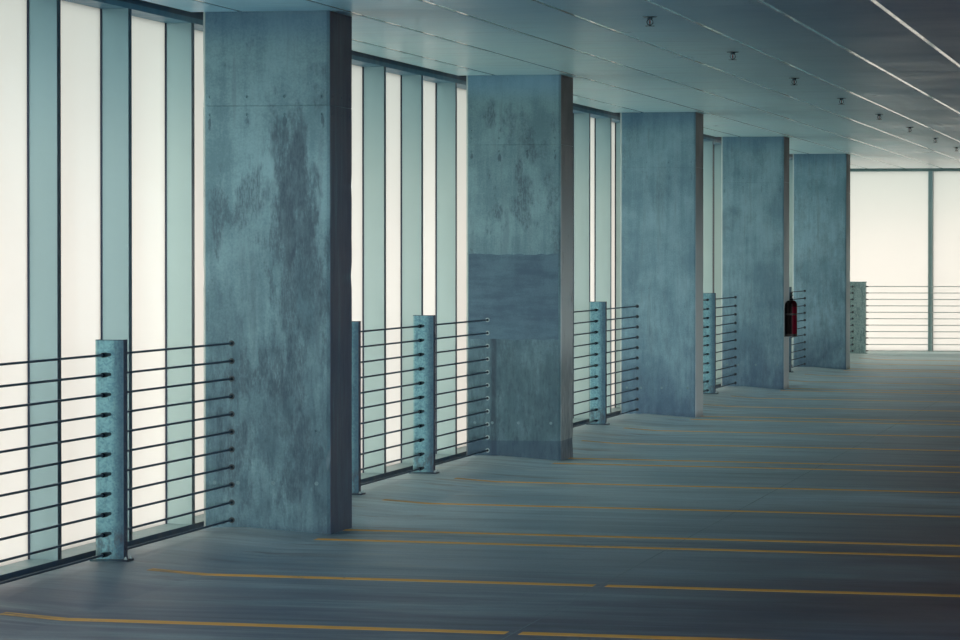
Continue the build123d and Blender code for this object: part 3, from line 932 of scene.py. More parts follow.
def grow(
    name: str,
    tree: NodeTree,
    places: Sequence[Matrix],
    values: dict[str, Any],
    reaches: Sequence[float] | None = None,
) -> Object:
    """Runs a geometry tree on a set of places and keeps the result as a plain mesh.

    Args:
        name: The new object's name.
        tree: The tree.
        places: Where the copies go, each with its turn.
        values: A value for each named input.
        reaches: A length for each place, where the tree needs one.

    Returns:
        The object, with no modifier left on it.
    """
    mesh = bpy.data.meshes.new(name)
    mesh.from_pydata([place.translation for place in places], [], [])
    turns = mesh.attributes.new(TURN, "FLOAT_VECTOR", "POINT")
    turns.data.foreach_set("vector", [angle for place in places for angle in place.to_euler()])
    if reaches is not None:
        mesh.attributes.new(REACH, "FLOAT", "POINT").data.foreach_set("value", list(reaches))
    made = link_new(name, mesh)
    modifier = made.modifiers.new("copies", "NODES")
    modifier.node_group = tree
    for socket in tree.interface.items_tree:
        if socket.in_out == "INPUT" and socket.name in values:
            modifier[socket.identifier] = values[socket.name]
    graph = bpy.context.evaluated_depsgraph_get()
    grown = bpy.data.meshes.new_from_object(
        made.evaluated_get(graph), preserve_all_data_layers=True, depsgraph=graph
    )
    made.modifiers.remove(modifier)
    made.data = grown
    grown.name = name
    bpy.data.meshes.remove(mesh)
    return made


class Trees:
    """The geometry trees that the pieces share."""

    @staticmethod
    @cache
    def copies() -> NodeTree:
        """A tree that puts a copy of a part at each place, turned as the place says.

        Returns:
            The tree.
        """
        tree, add, given = new_tree("copies_of_a_part", Part="Object", Size="Float", Finish="Material")
        part = add("GeometryNodeObjectInfo", {"Object": given["Part"]})
        Trees.end(add, given, part.outputs["Geometry"], given["Size"])
        return tree

    @staticmethod
    @cache
    def cables() -> NodeTree:
        """A tree that draws a round cable from each place, as far as its reach.

        Returns:
            The tree.
        """
        tree, add, given = new_tree("taut_cables", Diameter="Float", Sides="Int", Finish="Material")
        radius = add("ShaderNodeMath", {0: given["Diameter"], 1: 0.5}, operation="MULTIPLY")
        line = add("GeometryNodeCurvePrimitiveLine", {"End": (0.0, 1.0, 0.0)})
        circle = add("GeometryNodeCurvePrimitiveCircle", {"Resolution": given["Sides"], "Radius": radius})
        spot = add("GeometryNodeInputPosition")
        unit = add("ShaderNodeVectorMath", {0: spot}, operation="NORMALIZE")
        marked = add(
            "GeometryNodeStoreNamedAttribute",
            {"Geometry": circle, "Name": RING, "Value": unit}, data_type="FLOAT_VECTOR", domain="POINT"
        )
        rod = add("GeometryNodeCurveToMesh", {"Curve": line, "Profile Curve": marked, "Fill Caps": True})
        reach = add("GeometryNodeInputNamedAttribute", {"Name": REACH}, data_type="FLOAT")
        stretch = add("ShaderNodeCombineXYZ", {"X": 1.0, "Y": reach, "Z": 1.0})
        Trees.end(add, given, rod, stretch)
        return tree

    @staticmethod
    @cache
    def strips() -> NodeTree:
        """A tree that stands a straight strip at each place.

        Returns:
            The tree.
        """
        tree, add, given = new_tree(
            "strips_beside_the_mullions", Width="Float", Depth="Float", Height="Float", Finish="Material"
        )
        size = add("ShaderNodeCombineXYZ", {"X": given["Depth"], "Y": given["Width"], "Z": given["Height"]})
        Trees.end(add, given, add("GeometryNodeMeshCube", {"Size": size}))
        return tree

    @staticmethod
    def end(add: Add, given: Any, shape: Any, scale: Any = (1.0, 1.0, 1.0)) -> None:
        """Puts a shape at each place, makes the copies real and gives them their finish.

        Args:
            add: Adds a node to the tree.
            given: The outputs that give its inputs.
            shape: What is copied.
            scale: Size of each copy.
        """
        turn = add("GeometryNodeInputNamedAttribute", {"Name": TURN}, data_type="FLOAT_VECTOR")
        rotation = add("FunctionNodeEulerToRotation", {"Euler": turn})
        placed = add(
            "GeometryNodeInstanceOnPoints",
            {"Points": given["Geometry"], "Instance": shape, "Rotation": rotation, "Scale": scale}
        )
        real = add("GeometryNodeRealizeInstances", {"Geometry": placed})
        dressed = add("GeometryNodeSetMaterial", {"Geometry": real, "Material": given["Finish"]})
        add("NodeGroupOutput", {"Geometry": dressed})


def copy_part(
    name: str,
    part: Object,
    places: Sequence[Matrix],
    finish: Finish,
    slot: Slot,
    *replaced: str,
) -> Object:
    """Puts copies of a small part at many places, as one piece.

    Args:
        name: The piece's name.
        part: The part, which is used up.
        places: Where the copies go.
        finish: Their finish.
        slot: The record's slot for it.
        *replaced: CAD nodes that the piece stands for.

    Returns:
        The piece.
    """
    values = {"Part": part, "Size": 1.0, "Finish": finish.material()}
    piece = grow(name, Trees.copies(), places, values)
    bpy.data.objects.remove(part)
    dress(piece, finish, slot, *replaced)
    return piece


@dataclass(frozen=True)
class Deck:
    """Places that the pieces share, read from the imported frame."""

    near_y: float
    wash_z: float
    ceiling_z: float
    column_ys: tuple[float, ...]
    column_length: float
    column_inner: float
    column_outer: float
    cable_x: float
    cable_zs: tuple[float, ...]
    end_cable_y: float
    corner_near_y: float
    corner_inner: float
    kerb_y: float
    stall_length: float = 2600.0 * MM
    stall_fall: float = 32.5 * MM
    wash_rise: float = 18.0 * MM
    form_joint: float = 1.248
    tie_step: float = 112.0 * MM
    post_width: float = 76.0 * MM
    post_depth: float = 35.0 * MM
    base_lip: float = 13.0 * MM
    base_thickness: float = 5.0 * MM
    spans_per_bay: int = 3
    end_spans: int = 7

    @classmethod
    def measure(cls) -> Deck:
        """Reads the storey's places from the frame's boxes.

        Returns:
            The deck's places.
        """
        slab_low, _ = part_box("deck_slab")
        columns = [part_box(f"right_column_{i}") for i in BAYS]
        cables_low, cables_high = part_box("right_barrier_cables")
        end_low, end_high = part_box("end_barrier_cables")
        kerb_low, kerb_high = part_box("end_kerb")
        radius = (cables_high[0] - cables_low[0]) / 2
        return cls(
            near_y=slab_low[1],
            wash_z=kerb_high[2],
            ceiling_z=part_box("ceiling_bay_1")[0][2],
            column_ys=tuple(low[1] for low, _ in columns),
            column_length=columns[0][1][1] - columns[0][0][1],
            column_inner=columns[0][0][0],
            column_outer=columns[0][1][0],
            cable_x=(cables_low[0] + cables_high[0]) / 2,
            cable_zs=tuple(spread(cables_low[2] + radius, cables_high[2] - radius, CABLES - 1)),
            end_cable_y=(end_low[1] + end_high[1]) / 2,
            corner_near_y=cables_high[1],
            corner_inner=end_high[0],
            kerb_y=kerb_low[1],
        )

    @property
    def floor_z(self) -> float:
        """Height of the floor at the columns' inner faces."""
        return self.wash_z - self.wash_rise

    @property
    def joint_z(self) -> float:
        """Height of the form joint round the columns."""
        return self.floor_z + self.form_joint

    @property
    def wash_x(self) -> float:
        """Where the raised strip under the barrier starts."""
        return self.cable_x - self.post_width / 2 - self.base_lip

    def floor_at(self, x: float) -> float:
        """Height of the floor at a distance across the deck.

        Args:
            x: Distance from the middle line, to either side.

        Returns:
            The floor's height there.
        """
        x = abs(x)
        aisle = self.floor_z - self.stall_fall
        foot = self.column_inner - self.stall_length
        if x <= foot:
            return aisle
        if x <= self.column_inner:
            return aisle + self.stall_fall * (x - foot) / self.stall_length
        rise = min(1.0, (x - self.column_inner) / (self.wash_x - self.column_inner))
        return self.floor_z + self.wash_rise * rise

    def spans(self) -> list[tuple[float, float]]:
        """Where each bay's cables start and end along a long side."""
        ends = [*self.column_ys[1:], self.corner_near_y]
        return [(y + self.column_length, end) for y, end in zip(self.column_ys, ends)]

    def post_ys(self) -> list[float]:
        """Middles of a long side's posts."""
        return [y for y0, y1 in self.spans() for y in spread(y0, y1, self.spans_per_bay)[1:-1]]

    def end_post_xs(self) -> list[float]:
        """Middles of the end barrier's posts."""
        step = 2 * self.corner_inner / self.end_spans
        return [step * i - self.corner_inner for i in range(1, self.end_spans)]


@dataclass(frozen=True)
class Wear:
    """Finishes whose stains, and painted light and shade, have their places in the storey."""

    deck: Deck
    sill_top: float
    head_low: float
    post_top: float

    def column(self, number: int) -> Finish:
        """The concrete of a column, with stains and with painted light and shade where the photograph shows
        them.

        Args:
            number: The column's number, from the open end.

        Returns:
            Its finish.
        """
        floor, inner = self.deck.floor_z, self.deck.column_inner
        middle = (inner + self.deck.column_outer) / 2
        xs = [middle + (i - 1.5) * self.deck.tie_step for i in range(4)]
        drips = tuple((x, self.deck.joint_z - 0.048, 0.005, 0.014) for x in xs)
        low = Stretch(Axis.UP, 0.0, floor + 0.75, 0.34)
        face = Stretch(Axis.OUT, 0.0, inner + 2 * MM, 1.5 * MM)
        near = number < 4
        stains = [
            Stain("#2c4151", (190.0, 190.0, 330.0), 0.55, 0.64, 0.5 if near else 0.22, (7.0, 7.0, 19.0)),
            Stain("#3a5a6b", (60.0, 60.0, 150.0), 0.2, 0.7, 0.62 if near else 0.2, stretches=(low,)),
            Stain("#2c4668", (90.0, 90.0, 200.0), 0.1, 0.7, 0.0 if near else 0.8,
                  stretches=(Stretch(Axis.UP, 0.0, floor + 0.2, 0.26),)),
            Stain("#2c495c", (22.0, 22.0, 95.0), 0.42, 0.66, 0.5 if near else 0.3, (6.0, 6.0, 24.0),
                  (low,)),
            # Painted shade at the tops under the ceiling; on the third columns, painted light there.
            Stain("#86bce2" if number == 3 else "#44729a", (150.0, 150.0, 60.0), 0.1, 0.4, 0.45,
                  stretches=(Stretch(Axis.UP, self.deck.ceiling_z - 0.07, ABOVE, 0.055),)),
            Stain("#223c50", (14.0, 14.0, 40.0), 0.8, 0.9, 0.55 if near else 0.25, spots=drips),
            # Painted light on the outer faces and edges, towards the panes.
            Stain.even("#e2efe8", 0.55, Stretch(Axis.OUT, self.deck.column_outer - 7 * MM, OUTSIDE, 2 * MM)),
        ]
        # Darker on the second columns' inner faces; painted light on the others'.
        if number == 2:
            stains += [*SECOND_COLUMN_MARKS,
                       Stain("#474d66", (34.0, 34.0, 420.0), 0.1, 0.6, 0.82, stretches=(face,))]
        else:
            stains.append(Stain.even("#dde9ea", 0.84, face, full=0.3))
        # The inner faces darken and brown towards the ceiling.
        stains.append(Stain.even("#362631", 0.5 if number == 2 else 0.84, face,
                                 Stretch(Axis.UP, floor + 0.98, ABOVE, 0.42), full=0.3))
        foot = Stretch(Axis.UP, 0.0, floor + 0.04, 0.02, 0.05)
        if number == 3:
            foot = Stretch(Axis.UP, 0.0, floor + 0.078, 0.002)
            shadow = self.deck.cable_x - 0.024
            stains += [
                THIRD_COLUMN_MARKS,
                Stain("#33545f", (50.0, 50.0, 110.0), 0.1, 0.6, 0.6,
                      stretches=(Stretch(Axis.UP, 0.0, floor + 0.42, 0.1),)),
                Stain("#1f3647", (18.0, 18.0, 70.0), 0.48, 0.64, 0.5, (6.0, 6.0, 20.0),
                      (Stretch(Axis.UP, 0.0, floor + 0.36, 0.16),)),
                Stain("#1d3042", (20.0, 20.0, 60.0), 0.25, 0.5, 0.6,
                      stretches=(Stretch(Axis.OUT, shadow - 0.011, shadow + 0.011, 0.006),
                                 Stretch(Axis.UP, floor, self.post_top - 0.02, 0.02))),
            ]
        stains.append(Stain("#29455f", (90.0, 90.0, 60.0), 0.1, 0.4, 0.55, stretches=(foot,)))
        # Painted light: the columns further from the open end are paler, the last the palest.
        pale, dark = ("#86b0b9", "#608893") if near else ("#93bfcc", "#6a95a6")
        if number == len(self.deck.column_ys):
            pale, dark = "#a2d0e0", "#7aa8ba"
        return replace(COLUMN_CONCRETE, pale=pale, dark=dark).aged(str(number), *stains)

    def posts(self) -> Finish:
        """Zinc with run marks, and grime at the foot; a painted highlight on its outer edge and painted
        shade towards the aisle.

        Returns:
            The posts' finish.
        """
        x, half = self.deck.cable_x, self.deck.post_width / 2
        foot = self.deck.wash_z + self.deck.base_thickness
        return ZINC.aged(
            "posts",
            Stain("#37566f", (12.0, 12.0, 85.0), 0.5, 0.68, 0.5, fleck_mm=(6.0, 6.0, 14.0)),
            # Painted shade towards the aisle, darkest on the face that looks at it.
            Stain.even("#2b4763", 0.72, Stretch(Axis.OUT, 0.0, x - half * 0.4, 17 * MM)),
            Stain.even("#293a58", 0.85, Stretch(Axis.OUT, 0.0, x - half + 1 * MM, 0.8 * MM)),
            # Painted highlight on the outer edge.
            Stain.even("#b4d8d2", 0.55, Stretch(Axis.OUT, x + half - 5 * MM, x + half + 5 * MM, 2 * MM)),
            Stain("#4b3b3e", (12.0, 12.0, 30.0), 0.4, 0.6, 0.5,
                  stretches=(Stretch(Axis.UP, foot, foot + 70 * MM, 20 * MM),)),
            Stain.even("#1c2a39", 0.75, Stretch(Axis.UP, 0.0, foot + 0.8 * MM, 0.6 * MM)),
            Stain.even("#16263a", 0.8, Stretch(Axis.UP, self.post_top - 2 * MM, ABOVE, 0.6 * MM)),
        )

    def washers(self) -> Finish:
        """Plating darkened, but for the washers on the third columns' near faces.

        Returns:
            The anchor washers' finish.
        """
        near = self.deck.column_ys[2]
        return PLATED.aged("oiled", *[
            Stain.even("#17222c", 0.88, Stretch(Axis.ALONG, low, high))
            for low, high in ((BEFORE, near - 0.05), (near + 0.05, BEYOND))
        ])

    def mullions(self) -> Finish:
        """Anodised sections, with painted shade on the faces towards the aisle.

        Returns:
            The side mullions' finish.
        """
        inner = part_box("right_mullions")[0][0]
        inward = Stretch(Axis.OUT, 0.0, inner + 1 * MM, 0.5 * MM)
        # Painted shade on the faces towards the aisle.
        return ANODISED.aged("side", Stain.even("#17304d", 0.85, inward))

    def rails(self) -> Finish:
        """Powder coat, with painted light on the sills' upper faces and on a strip under the heads.

        Returns:
            The rails' finish.
        """
        painted_zone = Stretch(Axis.UP, self.sill_top - 1.0 * MM, self.sill_top + 5.0 * MM, 0.5 * MM)
        lit = Stretch(Axis.UP, self.head_low - 5.0 * MM, self.head_low + 16.0 * MM, 0.5 * MM)
        return RAIL_COAT.aged(
            "dusty",
            # Painted light on the sills' upper faces, and on a strip under the heads.
            Stain("#9fc0c2", (300.0, 300.0, 300.0), 0.0, 0.25, 0.85, stretches=(painted_zone,)),
            Stain("#4f8ba6", (300.0, 300.0, 300.0), 0.0, 0.25, 0.8, stretches=(lit,)),
        )

    def lines(self) -> Finish:
        """Road paint, browned at its outer ends.

        Returns:
            The lines' finish.
        """
        start = self.deck.column_inner
        ends = Stretch(Axis.OUT, start + 0.02, start + 1.0, 0.07)
        return ROAD_PAINT.aged(
            "browned", Stain("#7a6a55", (60.0, 20.0, 20.0), 0.3, 0.6, 0.75, stretches=(ends,))
        )

    def enamel(self) -> Finish:
        """Red enamel, black round the shoulder and on the side towards the glazing.

        Returns:
            The cylinder's finish.
        """
        low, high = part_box("fire_extinguisher")
        middle = abs(low[0] + high[0]) / 2
        return ENAMEL.aged(
            "sooty",
            Stain.even("#060608", 0.98, Stretch(Axis.OUT, middle - 10 * MM, OUTSIDE, 5 * MM)),
            Stain.even("#08080b", 0.8, Stretch(Axis.UP, low[2] + 178 * MM, 9.0, 4 * MM)),
        )

    def nodes(self, name: str) -> Finish | None:
        """The finish of a CAD node that has stains, or painted light and shade, of its own.

        Args:
            name: The node's name.

        Returns:
            Its finish, or nothing for the other nodes.
        """
        if name == "end_head_rail":
            return END_RAIL
        if name.endswith("_rail"):
            return self.rails()
        if name in ("left_mullions", "right_mullions"):
            return self.mullions()
        if name == "corner_posts":
            return CORNER_ZINC
        return self.posts() if name.endswith("_barrier_posts") else None


@dataclass
class Floor:
    """Stall lines and sealed joints on the concrete floor."""

    deck: Deck
    paint: Finish
    line_width: float = 60.0 * MM
    line_height: float = 0.5 * MM
    line_outboard: float = 147.0 * MM
    line_inboard: float = 2482.5 * MM
    line_offsets: tuple[float, ...] = (0.2, 1.44, 2.68, 3.93)
    paint_break: float = 30.0 * MM
    break_reach: float = 3.0
    step: float = 55.0 * MM
    joint_inset: float = 1.0175
    joint_width: float = 3.0 * MM
    joint_height: float = 0.25 * MM
    joint_steps: int = 90
    line_waver: float = 1.3 * MM
    joint_waver: float = 0.7 * MM
    bury: float = 0.2 * MM
    seed: int = 11

    def build(self) -> None:
        """Makes the lines and the joints."""
        self.lines()
        self.joints()

    def line_places(self) -> list[float]:
        """Where the lines lie along the deck."""
        places = [y + offset for y in self.deck.column_ys for offset in self.line_offsets]
        return [y for y in places if y < self.deck.kerb_y - self.line_width]

    def strip(self, shell: Shell, route: Sequence[tuple[float, float]], across: Vector,
              width: float, rise: float, draw: random.Random, waver: float) -> None:
        """Lays a thin strip along points of the floor, its edges a little uneven.

        Args:
            shell: The mesh that gets it.
            route: Points (x, y) along its middle line.
            across: Unit vector across it.
            width: Width of the strip.
            rise: How far it stands above the floor.
            draw: The source of random numbers.
            waver: How far an edge may stray.
        """
        rings = []
        lift, sunk = Vector((0, 0, rise)), Vector((0, 0, -self.bury))
        for x, y in route:
            near = across * (width / 2 + draw.uniform(-waver, waver))
            far = across * (width / 2 + draw.uniform(-waver, waver))
            middle = Vector((x, y, self.deck.floor_at(x)))
            rings.append([middle - near + sunk, middle + far + sunk,
                          middle + far + lift, middle - near + lift])
        shell.loft(rings)

    def lines(self) -> None:
        """Paints the stall lines: the first are worn through at the joint.

        A line close before a column starts at the column's inner face.
        """
        deck, draw, shell = self.deck, random.Random(self.seed), Shell()
        gap_x = deck.column_inner - self.joint_inset
        inner = deck.column_inner - self.line_inboard
        short = {y + self.line_offsets[-1] for y in deck.column_ys}
        for side in Side:
            for y in self.line_places():
                outer = deck.column_inner + (0.0 if y in short else self.line_outboard)
                parts = [(outer, inner)]
                if y < deck.column_ys[0] + self.break_reach:
                    parts = [(outer, gap_x + self.paint_break / 2), (gap_x - self.paint_break / 2, inner)]
                for x0, x1 in parts:
                    xs = {*spread(x0, x1, max(2, round(abs(x1 - x0) / self.step)))}
                    if x1 < deck.column_inner < x0:
                        xs.add(deck.column_inner)
                    route = [(side.value * x, y) for x in sorted(xs, reverse=True)]
                    self.strip(shell, route, Vector((0, 1, 0)), self.line_width,
                               self.line_height, draw, self.line_waver)
        dress(shell.part("stall_lines", FLAT_WORK), self.paint, Slot.FLOOR)

    def joints(self) -> None:
        """Fills the long joint of either half of the floor with sealant."""
        deck, draw, shell = self.deck, random.Random(self.seed + 1), Shell()
        ys = spread(deck.near_y, deck.kerb_y, self.joint_steps)
        for side in Side:
            x = side.value * (deck.column_inner - self.joint_inset)
            self.strip(shell, [(x, y) for y in ys], Vector((1, 0, 0)), self.joint_width,
                       self.joint_height, draw, self.joint_waver)
        dress(shell.part("floor_joints", FLAT_WORK), SEALANT, Slot.FLOOR)


@dataclass
class Ceiling:
    """Boards of the ceiling, with filled joints between them."""

    deck: Deck
    boards: int = 30
    outer_joint: float = 4.635
    thickness: float = 3.0 * MM
    joint: float = 17.0 * MM
    bevel: float = 1.5 * MM
    recess: float = 1.2 * MM

    def build(self) -> None:
        """Makes the boards of each bay, and the filler between them."""
        for bay in BAYS:
            self.bay(bay)
        self.filler()

    def filler(self) -> None:
        """Fills the joints between the boards."""
        shell = Shell()
        half = self.joint / 2 + self.bevel
        for bay in BAYS:
            low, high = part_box(f"ceiling_bay_{bay}")
            z0, z1 = low[2] - self.thickness + self.recess, low[2]
            for x in self.joints():
                beside = abs(x) > self.deck.column_inner
                start = self.deck.column_ys[bay - 1] + self.deck.column_length if beside else low[1]
                shell.box((x - half, start, z0), (x + half, high[1], z1))
        dress(shell.part("ceiling_joint_filler", FLAT_WORK), JOINT_FILLER, Slot.CEILING)

    def joints(self) -> list[float]:
        """Middle lines of the joints, across the deck."""
        step = 2 * self.outer_joint / self.boards
        return [-self.outer_joint + step * i for i in range(self.boards + 1)]

    def edges(self, half_width: float) -> list[tuple[float, float, bool, bool]]:
        """Strips across the deck: low and high X, and whether each edge is a joint.

        Args:
            half_width: Half of the ceiling's width.

        Returns:
            The strips, from left to right.
        """
        inner = self.deck.column_inner
        marks = sorted([(-half_width, False), *[(x, True) for x in self.joints()], (half_width, False),
                        (-inner, False), (inner, False)])
        return [(a[0], b[0], a[1], b[1]) for a, b in zip(marks, marks[1:])]

    def bay(self, bay: int) -> None:
        """Makes one bay's boards, cut round the columns at its near edge.

        Args:
            bay: The bay's number, from the open end.
        """
        low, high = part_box(f"ceiling_bay_{bay}")
        deck, shell = self.deck, Shell()
        z0, z1 = low[2] - self.thickness, low[2]
        bevel, half = self.bevel, self.joint / 2
        column_end = deck.column_ys[bay - 1] + deck.column_length
        for x0, x1, joint0, joint1 in self.edges(high[0]):
            start = column_end if max(abs(x0), abs(x1)) > deck.column_inner + MM else low[1]
            foot0, foot1 = x0 + half * joint0, x1 - half * joint1
            top0, top1 = foot0 - bevel * joint0, foot1 + bevel * joint1
            plan = [(foot0, z0), (foot1, z0), (top1, z1), (top0, z1)]
            shell.loft([[Vector((x, y, z)) for x, z in plan] for y in (start, high[1])])
        dress(shell.part(f"ceiling_boards_{bay}", FLAT_WORK), CEILING_CONCRETE, Slot.CEILING)


@dataclass
class Slabs:
    """Pour joints, form marks and a drip groove on the two slabs."""

    deck: Deck
    joint_width: float = 7.0 * MM
    mark_width: float = 2.5 * MM
    board_length: float = 1.22
    proud: float = 0.3 * MM
    groove_width: float = 7.0 * MM
    groove_inset: float = 9.0 * MM
    joint_offset: float = 0.4

    def build(self) -> None:
        """Makes the joints, the marks and the groove."""
        joints, marks = Shell(), Shell()
        for name in ("deck_slab", "upper_slab"):
            low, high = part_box(name)
            for y in self.joint_ys():
                self.ring(joints, low, high, y, self.joint_width)
            count = int((high[1] - low[1]) / self.board_length)
            for i in range(1, count):
                self.ring(marks, low, high, low[1] + i * self.board_length, self.mark_width, False)
        low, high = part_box("upper_slab")
        for sign in SIGNS:
            x = sign * (high[0] - self.groove_inset)
            marks.box((x - self.groove_width / 2, low[1], low[2] - self.proud),
                      (x + self.groove_width / 2, high[1], low[2]))
        dress(joints.part("pour_joints", FLAT_WORK), SEALANT, Slot.SLAB)
        dress(marks.part("form_marks", FLAT_WORK), FORM_MARK, Slot.SLAB)

    def joint_ys(self) -> list[float]:
        """Pour joints: one at each column's far side, where the pours were stopped."""
        return [y + self.deck.column_length + self.joint_offset for y in self.deck.column_ys]

    def ring(self, shell: Shell, low: Vector, high: Vector, y: float, width: float,
             over: bool = True) -> None:
        """Draws a line down both long edges of a slab, and across its top.

        Args:
            shell: The mesh that gets it.
            low: The slab's lowest corner.
            high: The slab's highest corner.
            y: Where the line is.
            width: Its width.
            over: Whether it crosses the top as well.
        """
        p, y0, y1 = self.proud, y - width / 2, y + width / 2
        shell.box((high[0], y0, low[2] + p), (high[0] + p, y1, high[2]))
        shell.box((low[0] - p, y0, low[2] + p), (low[0], y1, high[2]))
        if over:
            shell.box((low[0] - p, y0, high[2]), (high[0] + p, y1, high[2] + p))


@dataclass
class Column:
    """A cast column: its form joint, tie holes and worn edges."""

    deck: Deck
    side: Side
    number: int
    concrete: Finish
    chamfer: float = 9.5 * MM
    joint_half: float = 1.6 * MM
    joint_depth: float = 1.8 * MM
    level_step: float = 38.0 * MM
    hole_radius: float = 5.5 * MM
    hole_depth: float = 5.0 * MM
    hole_row_gap: float = 26.0 * MM
    low_row: float = 0.3
    low_insets: tuple[float, float] = (60.0 * MM, 20.0 * MM)
    chip_spread: float = 0.3
    chip_chance: float = 0.02
    chip_sizes: tuple[float, float] = (1.0, 2.5)

    @property
    def name(self) -> str:
        """The node that the column stands for."""
        return f"{self.side.label}_column_{self.number}"

    def build(self) -> Object:
        """Casts the column, drills it and puts it in its node's place.

        Returns:
            The column.
        """
        shaft, drills = self.shaft(), self.drills()
        cut = shaft.modifiers.new("tie_holes", "BOOLEAN")
        cut.operation = "DIFFERENCE"
        cut.solver = "EXACT"
        cut.object = drills
        graph = bpy.context.evaluated_depsgraph_get()
        mesh = bpy.data.meshes.new_from_object(shaft.evaluated_get(graph), depsgraph=graph)
        shaft.modifiers.remove(cut)
        shaft.data = mesh
        bpy.data.objects.remove(drills)
        mesh.polygons.foreach_set("use_smooth", [False] * len(mesh.polygons))
        dress(shaft, self.concrete, Slot.COLUMN, self.name)
        return shaft

    def levels(self, low_z: float, high_z: float) -> list[tuple[float, float]]:
        """Heights of the column's rings, and how far each is cut back.

        Args:
            low_z: Height of its foot.
            high_z: Height of its top.

        Returns:
            Height and cut of each ring, from the foot up.
        """
        joint = self.deck.joint_z
        half, depth = self.joint_half, self.joint_depth
        plain = spread(low_z, high_z, round((high_z - low_z) / self.level_step))
        rings = [(z, 0.0) for z in plain if abs(z - joint) > 3 * half]
        return sorted([*rings, (joint - half, 0.0), (joint - half / 2, depth), (joint + half / 2, depth),
                       (joint + half, 0.0)])

    def shaft(self) -> Object:
        """Casts the shaft, its chamfers chipped here and there.

        Returns:
            The shaft.
        """
        low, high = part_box(self.name)
        draw = random.Random(100 * self.number + self.side.value)
        middle = (Vector(low) + Vector(high)) / 2
        rings = []
        for z, cut in self.levels(low[2], high[2]):
            ring = []
            plan = chamfered(low[0] + cut, high[0] - cut, low[1] + cut, high[1] - cut, self.chamfer)
            for x, y in plan:
                chip = max(0.0, draw.gauss(0.0, self.chip_spread)) * MM
                if draw.random() < self.chip_chance:
                    chip += draw.uniform(*self.chip_sizes) * MM
                ring.append(Vector((x + math.copysign(chip, middle.x - x),
                                    y + math.copysign(chip, middle.y - y), z)))
            rings.append(ring)
        shell = Shell()
        shell.loft(rings)
        return shell.part(f"{self.name}_cast")

    def drills(self) -> Object:
        """The holes that the form ties left, as solids to cut away.

        Returns:
            The drills, as one object.
        """
        shell = Shell()
        r, d = self.hole_radius, self.hole_depth
        for place in self.hole_places():
            shell.turned([(r * 1.15, -d), (r * 0.8, 0.0), (r * 0.55, d)], 10, place)
        return shell.part("drills")

    def hole_places(self) -> list[Matrix]:
        """Where the holes are: beside the form joint, and in a low row on the long faces.

        Returns:
            Each hole's place, its Z pointing inward.
        """
        low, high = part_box(self.name)
        joint, foot, step = self.deck.joint_z, self.deck.floor_z + self.low_row, self.deck.tie_step
        rows = [joint - self.hole_row_gap, joint + self.hole_row_gap]
        x_mid, y_mid = (low[0] + high[0]) / 2, (low[1] + high[1]) / 2
        wide = [(i - 1.5) * step for i in range(4)]
        narrow = [(i - 1) * step for i in range(3)]
        spots = [(x, z) for z in rows for x in wide]
        spots += [(wide[0] + self.low_insets[0], foot), (wide[3] - self.low_insets[1], foot)]
        quarter = math.pi / 2
        places = [
            place_at((x_mid + x, y, z), (-quarter, 0, turn))
            for turn, y in ((0.0, low[1]), (math.pi, high[1])) for x, z in spots
        ]
        return places + [
            place_at((x, y_mid + y, z), (-quarter, 0, turn))
            for turn, x in ((quarter, high[0]), (-quarter, low[0])) for z in rows for y in narrow
        ]


@dataclass
class ColumnRepairs:
    """Mortar plugs in the low tie holes, and skim coats over patched forms."""

    deck: Deck
    plug_radius: float = 6.0 * MM
    plug_rise: float = 0.148
    skim_column: int = 3
    skim_low: float = 0.478
    skim_high: float = 0.815
    skim_proud: float = 0.5 * MM
    plug_xs: tuple[float, ...] = (-0.155, -0.085, 0.02, 0.15)
    margin: float = 11.0 * MM
    steps: int = 16
    waver: float = 3.0
    bury: float = 0.3 * MM
    seed: int = 5

    def build(self) -> None:
        """Makes the plugs and the skim coats."""
        self.plugs()
        self.skims()

    def plugs(self) -> None:
        """Fills a row of holes near the foot of each column's long faces."""
        shell = Shell()
        r = self.plug_radius
        shell.turned(
            [(r, -1.0 * MM), (r, 0.3 * MM), (r * 0.82, 0.8 * MM), (r * 0.5, 0.4 * MM),
             (r * 0.2, 0.1 * MM)], 12,
        )
        part = shell.part("plug")
        z = self.deck.floor_z + self.plug_rise
        places = []
        for side in Side:
            for i in range(1, len(self.deck.column_ys) + 1):
                low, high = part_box(f"{side.label}_column_{i}")
                x_mid = (low[0] + high[0]) / 2
                for x in self.plug_xs:
                    places.append(place_at((x_mid + x, low[1], z), (math.pi / 2, 0, 0)))
                    places.append(place_at((x_mid - x, high[1], z), (-math.pi / 2, 0, 0)))
        copy_part("tie_hole_plugs", part, places, MORTAR, Slot.COLUMN)

    def skims(self) -> None:
        """Lays a thin coat across the near face of the patched columns, its edges uneven."""
        shell, draw = Shell(), random.Random(self.seed)
        floor = self.deck.floor_z
        for side in Side:
            (x0, y, _), (x1, _, _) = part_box(f"{side.label}_column_{self.skim_column}")
            rings = []
            for x in spread(x0 + self.margin, x1 - self.margin, self.steps):
                z0 = floor + self.skim_low + draw.uniform(-self.waver, self.waver) * MM
                z1 = floor + self.skim_high + draw.uniform(-self.waver, self.waver) * MM
                back, front = y + self.bury, y - self.skim_proud
                rings.append([Vector((x, back, z0)), Vector((x, front, z0)), Vector((x, front, z1)),
                              Vector((x, back, z1))])
            shell.loft(rings)
        dress(shell.part("skim_coats", FLAT_WORK), SKIM_COAT, Slot.COLUMN)


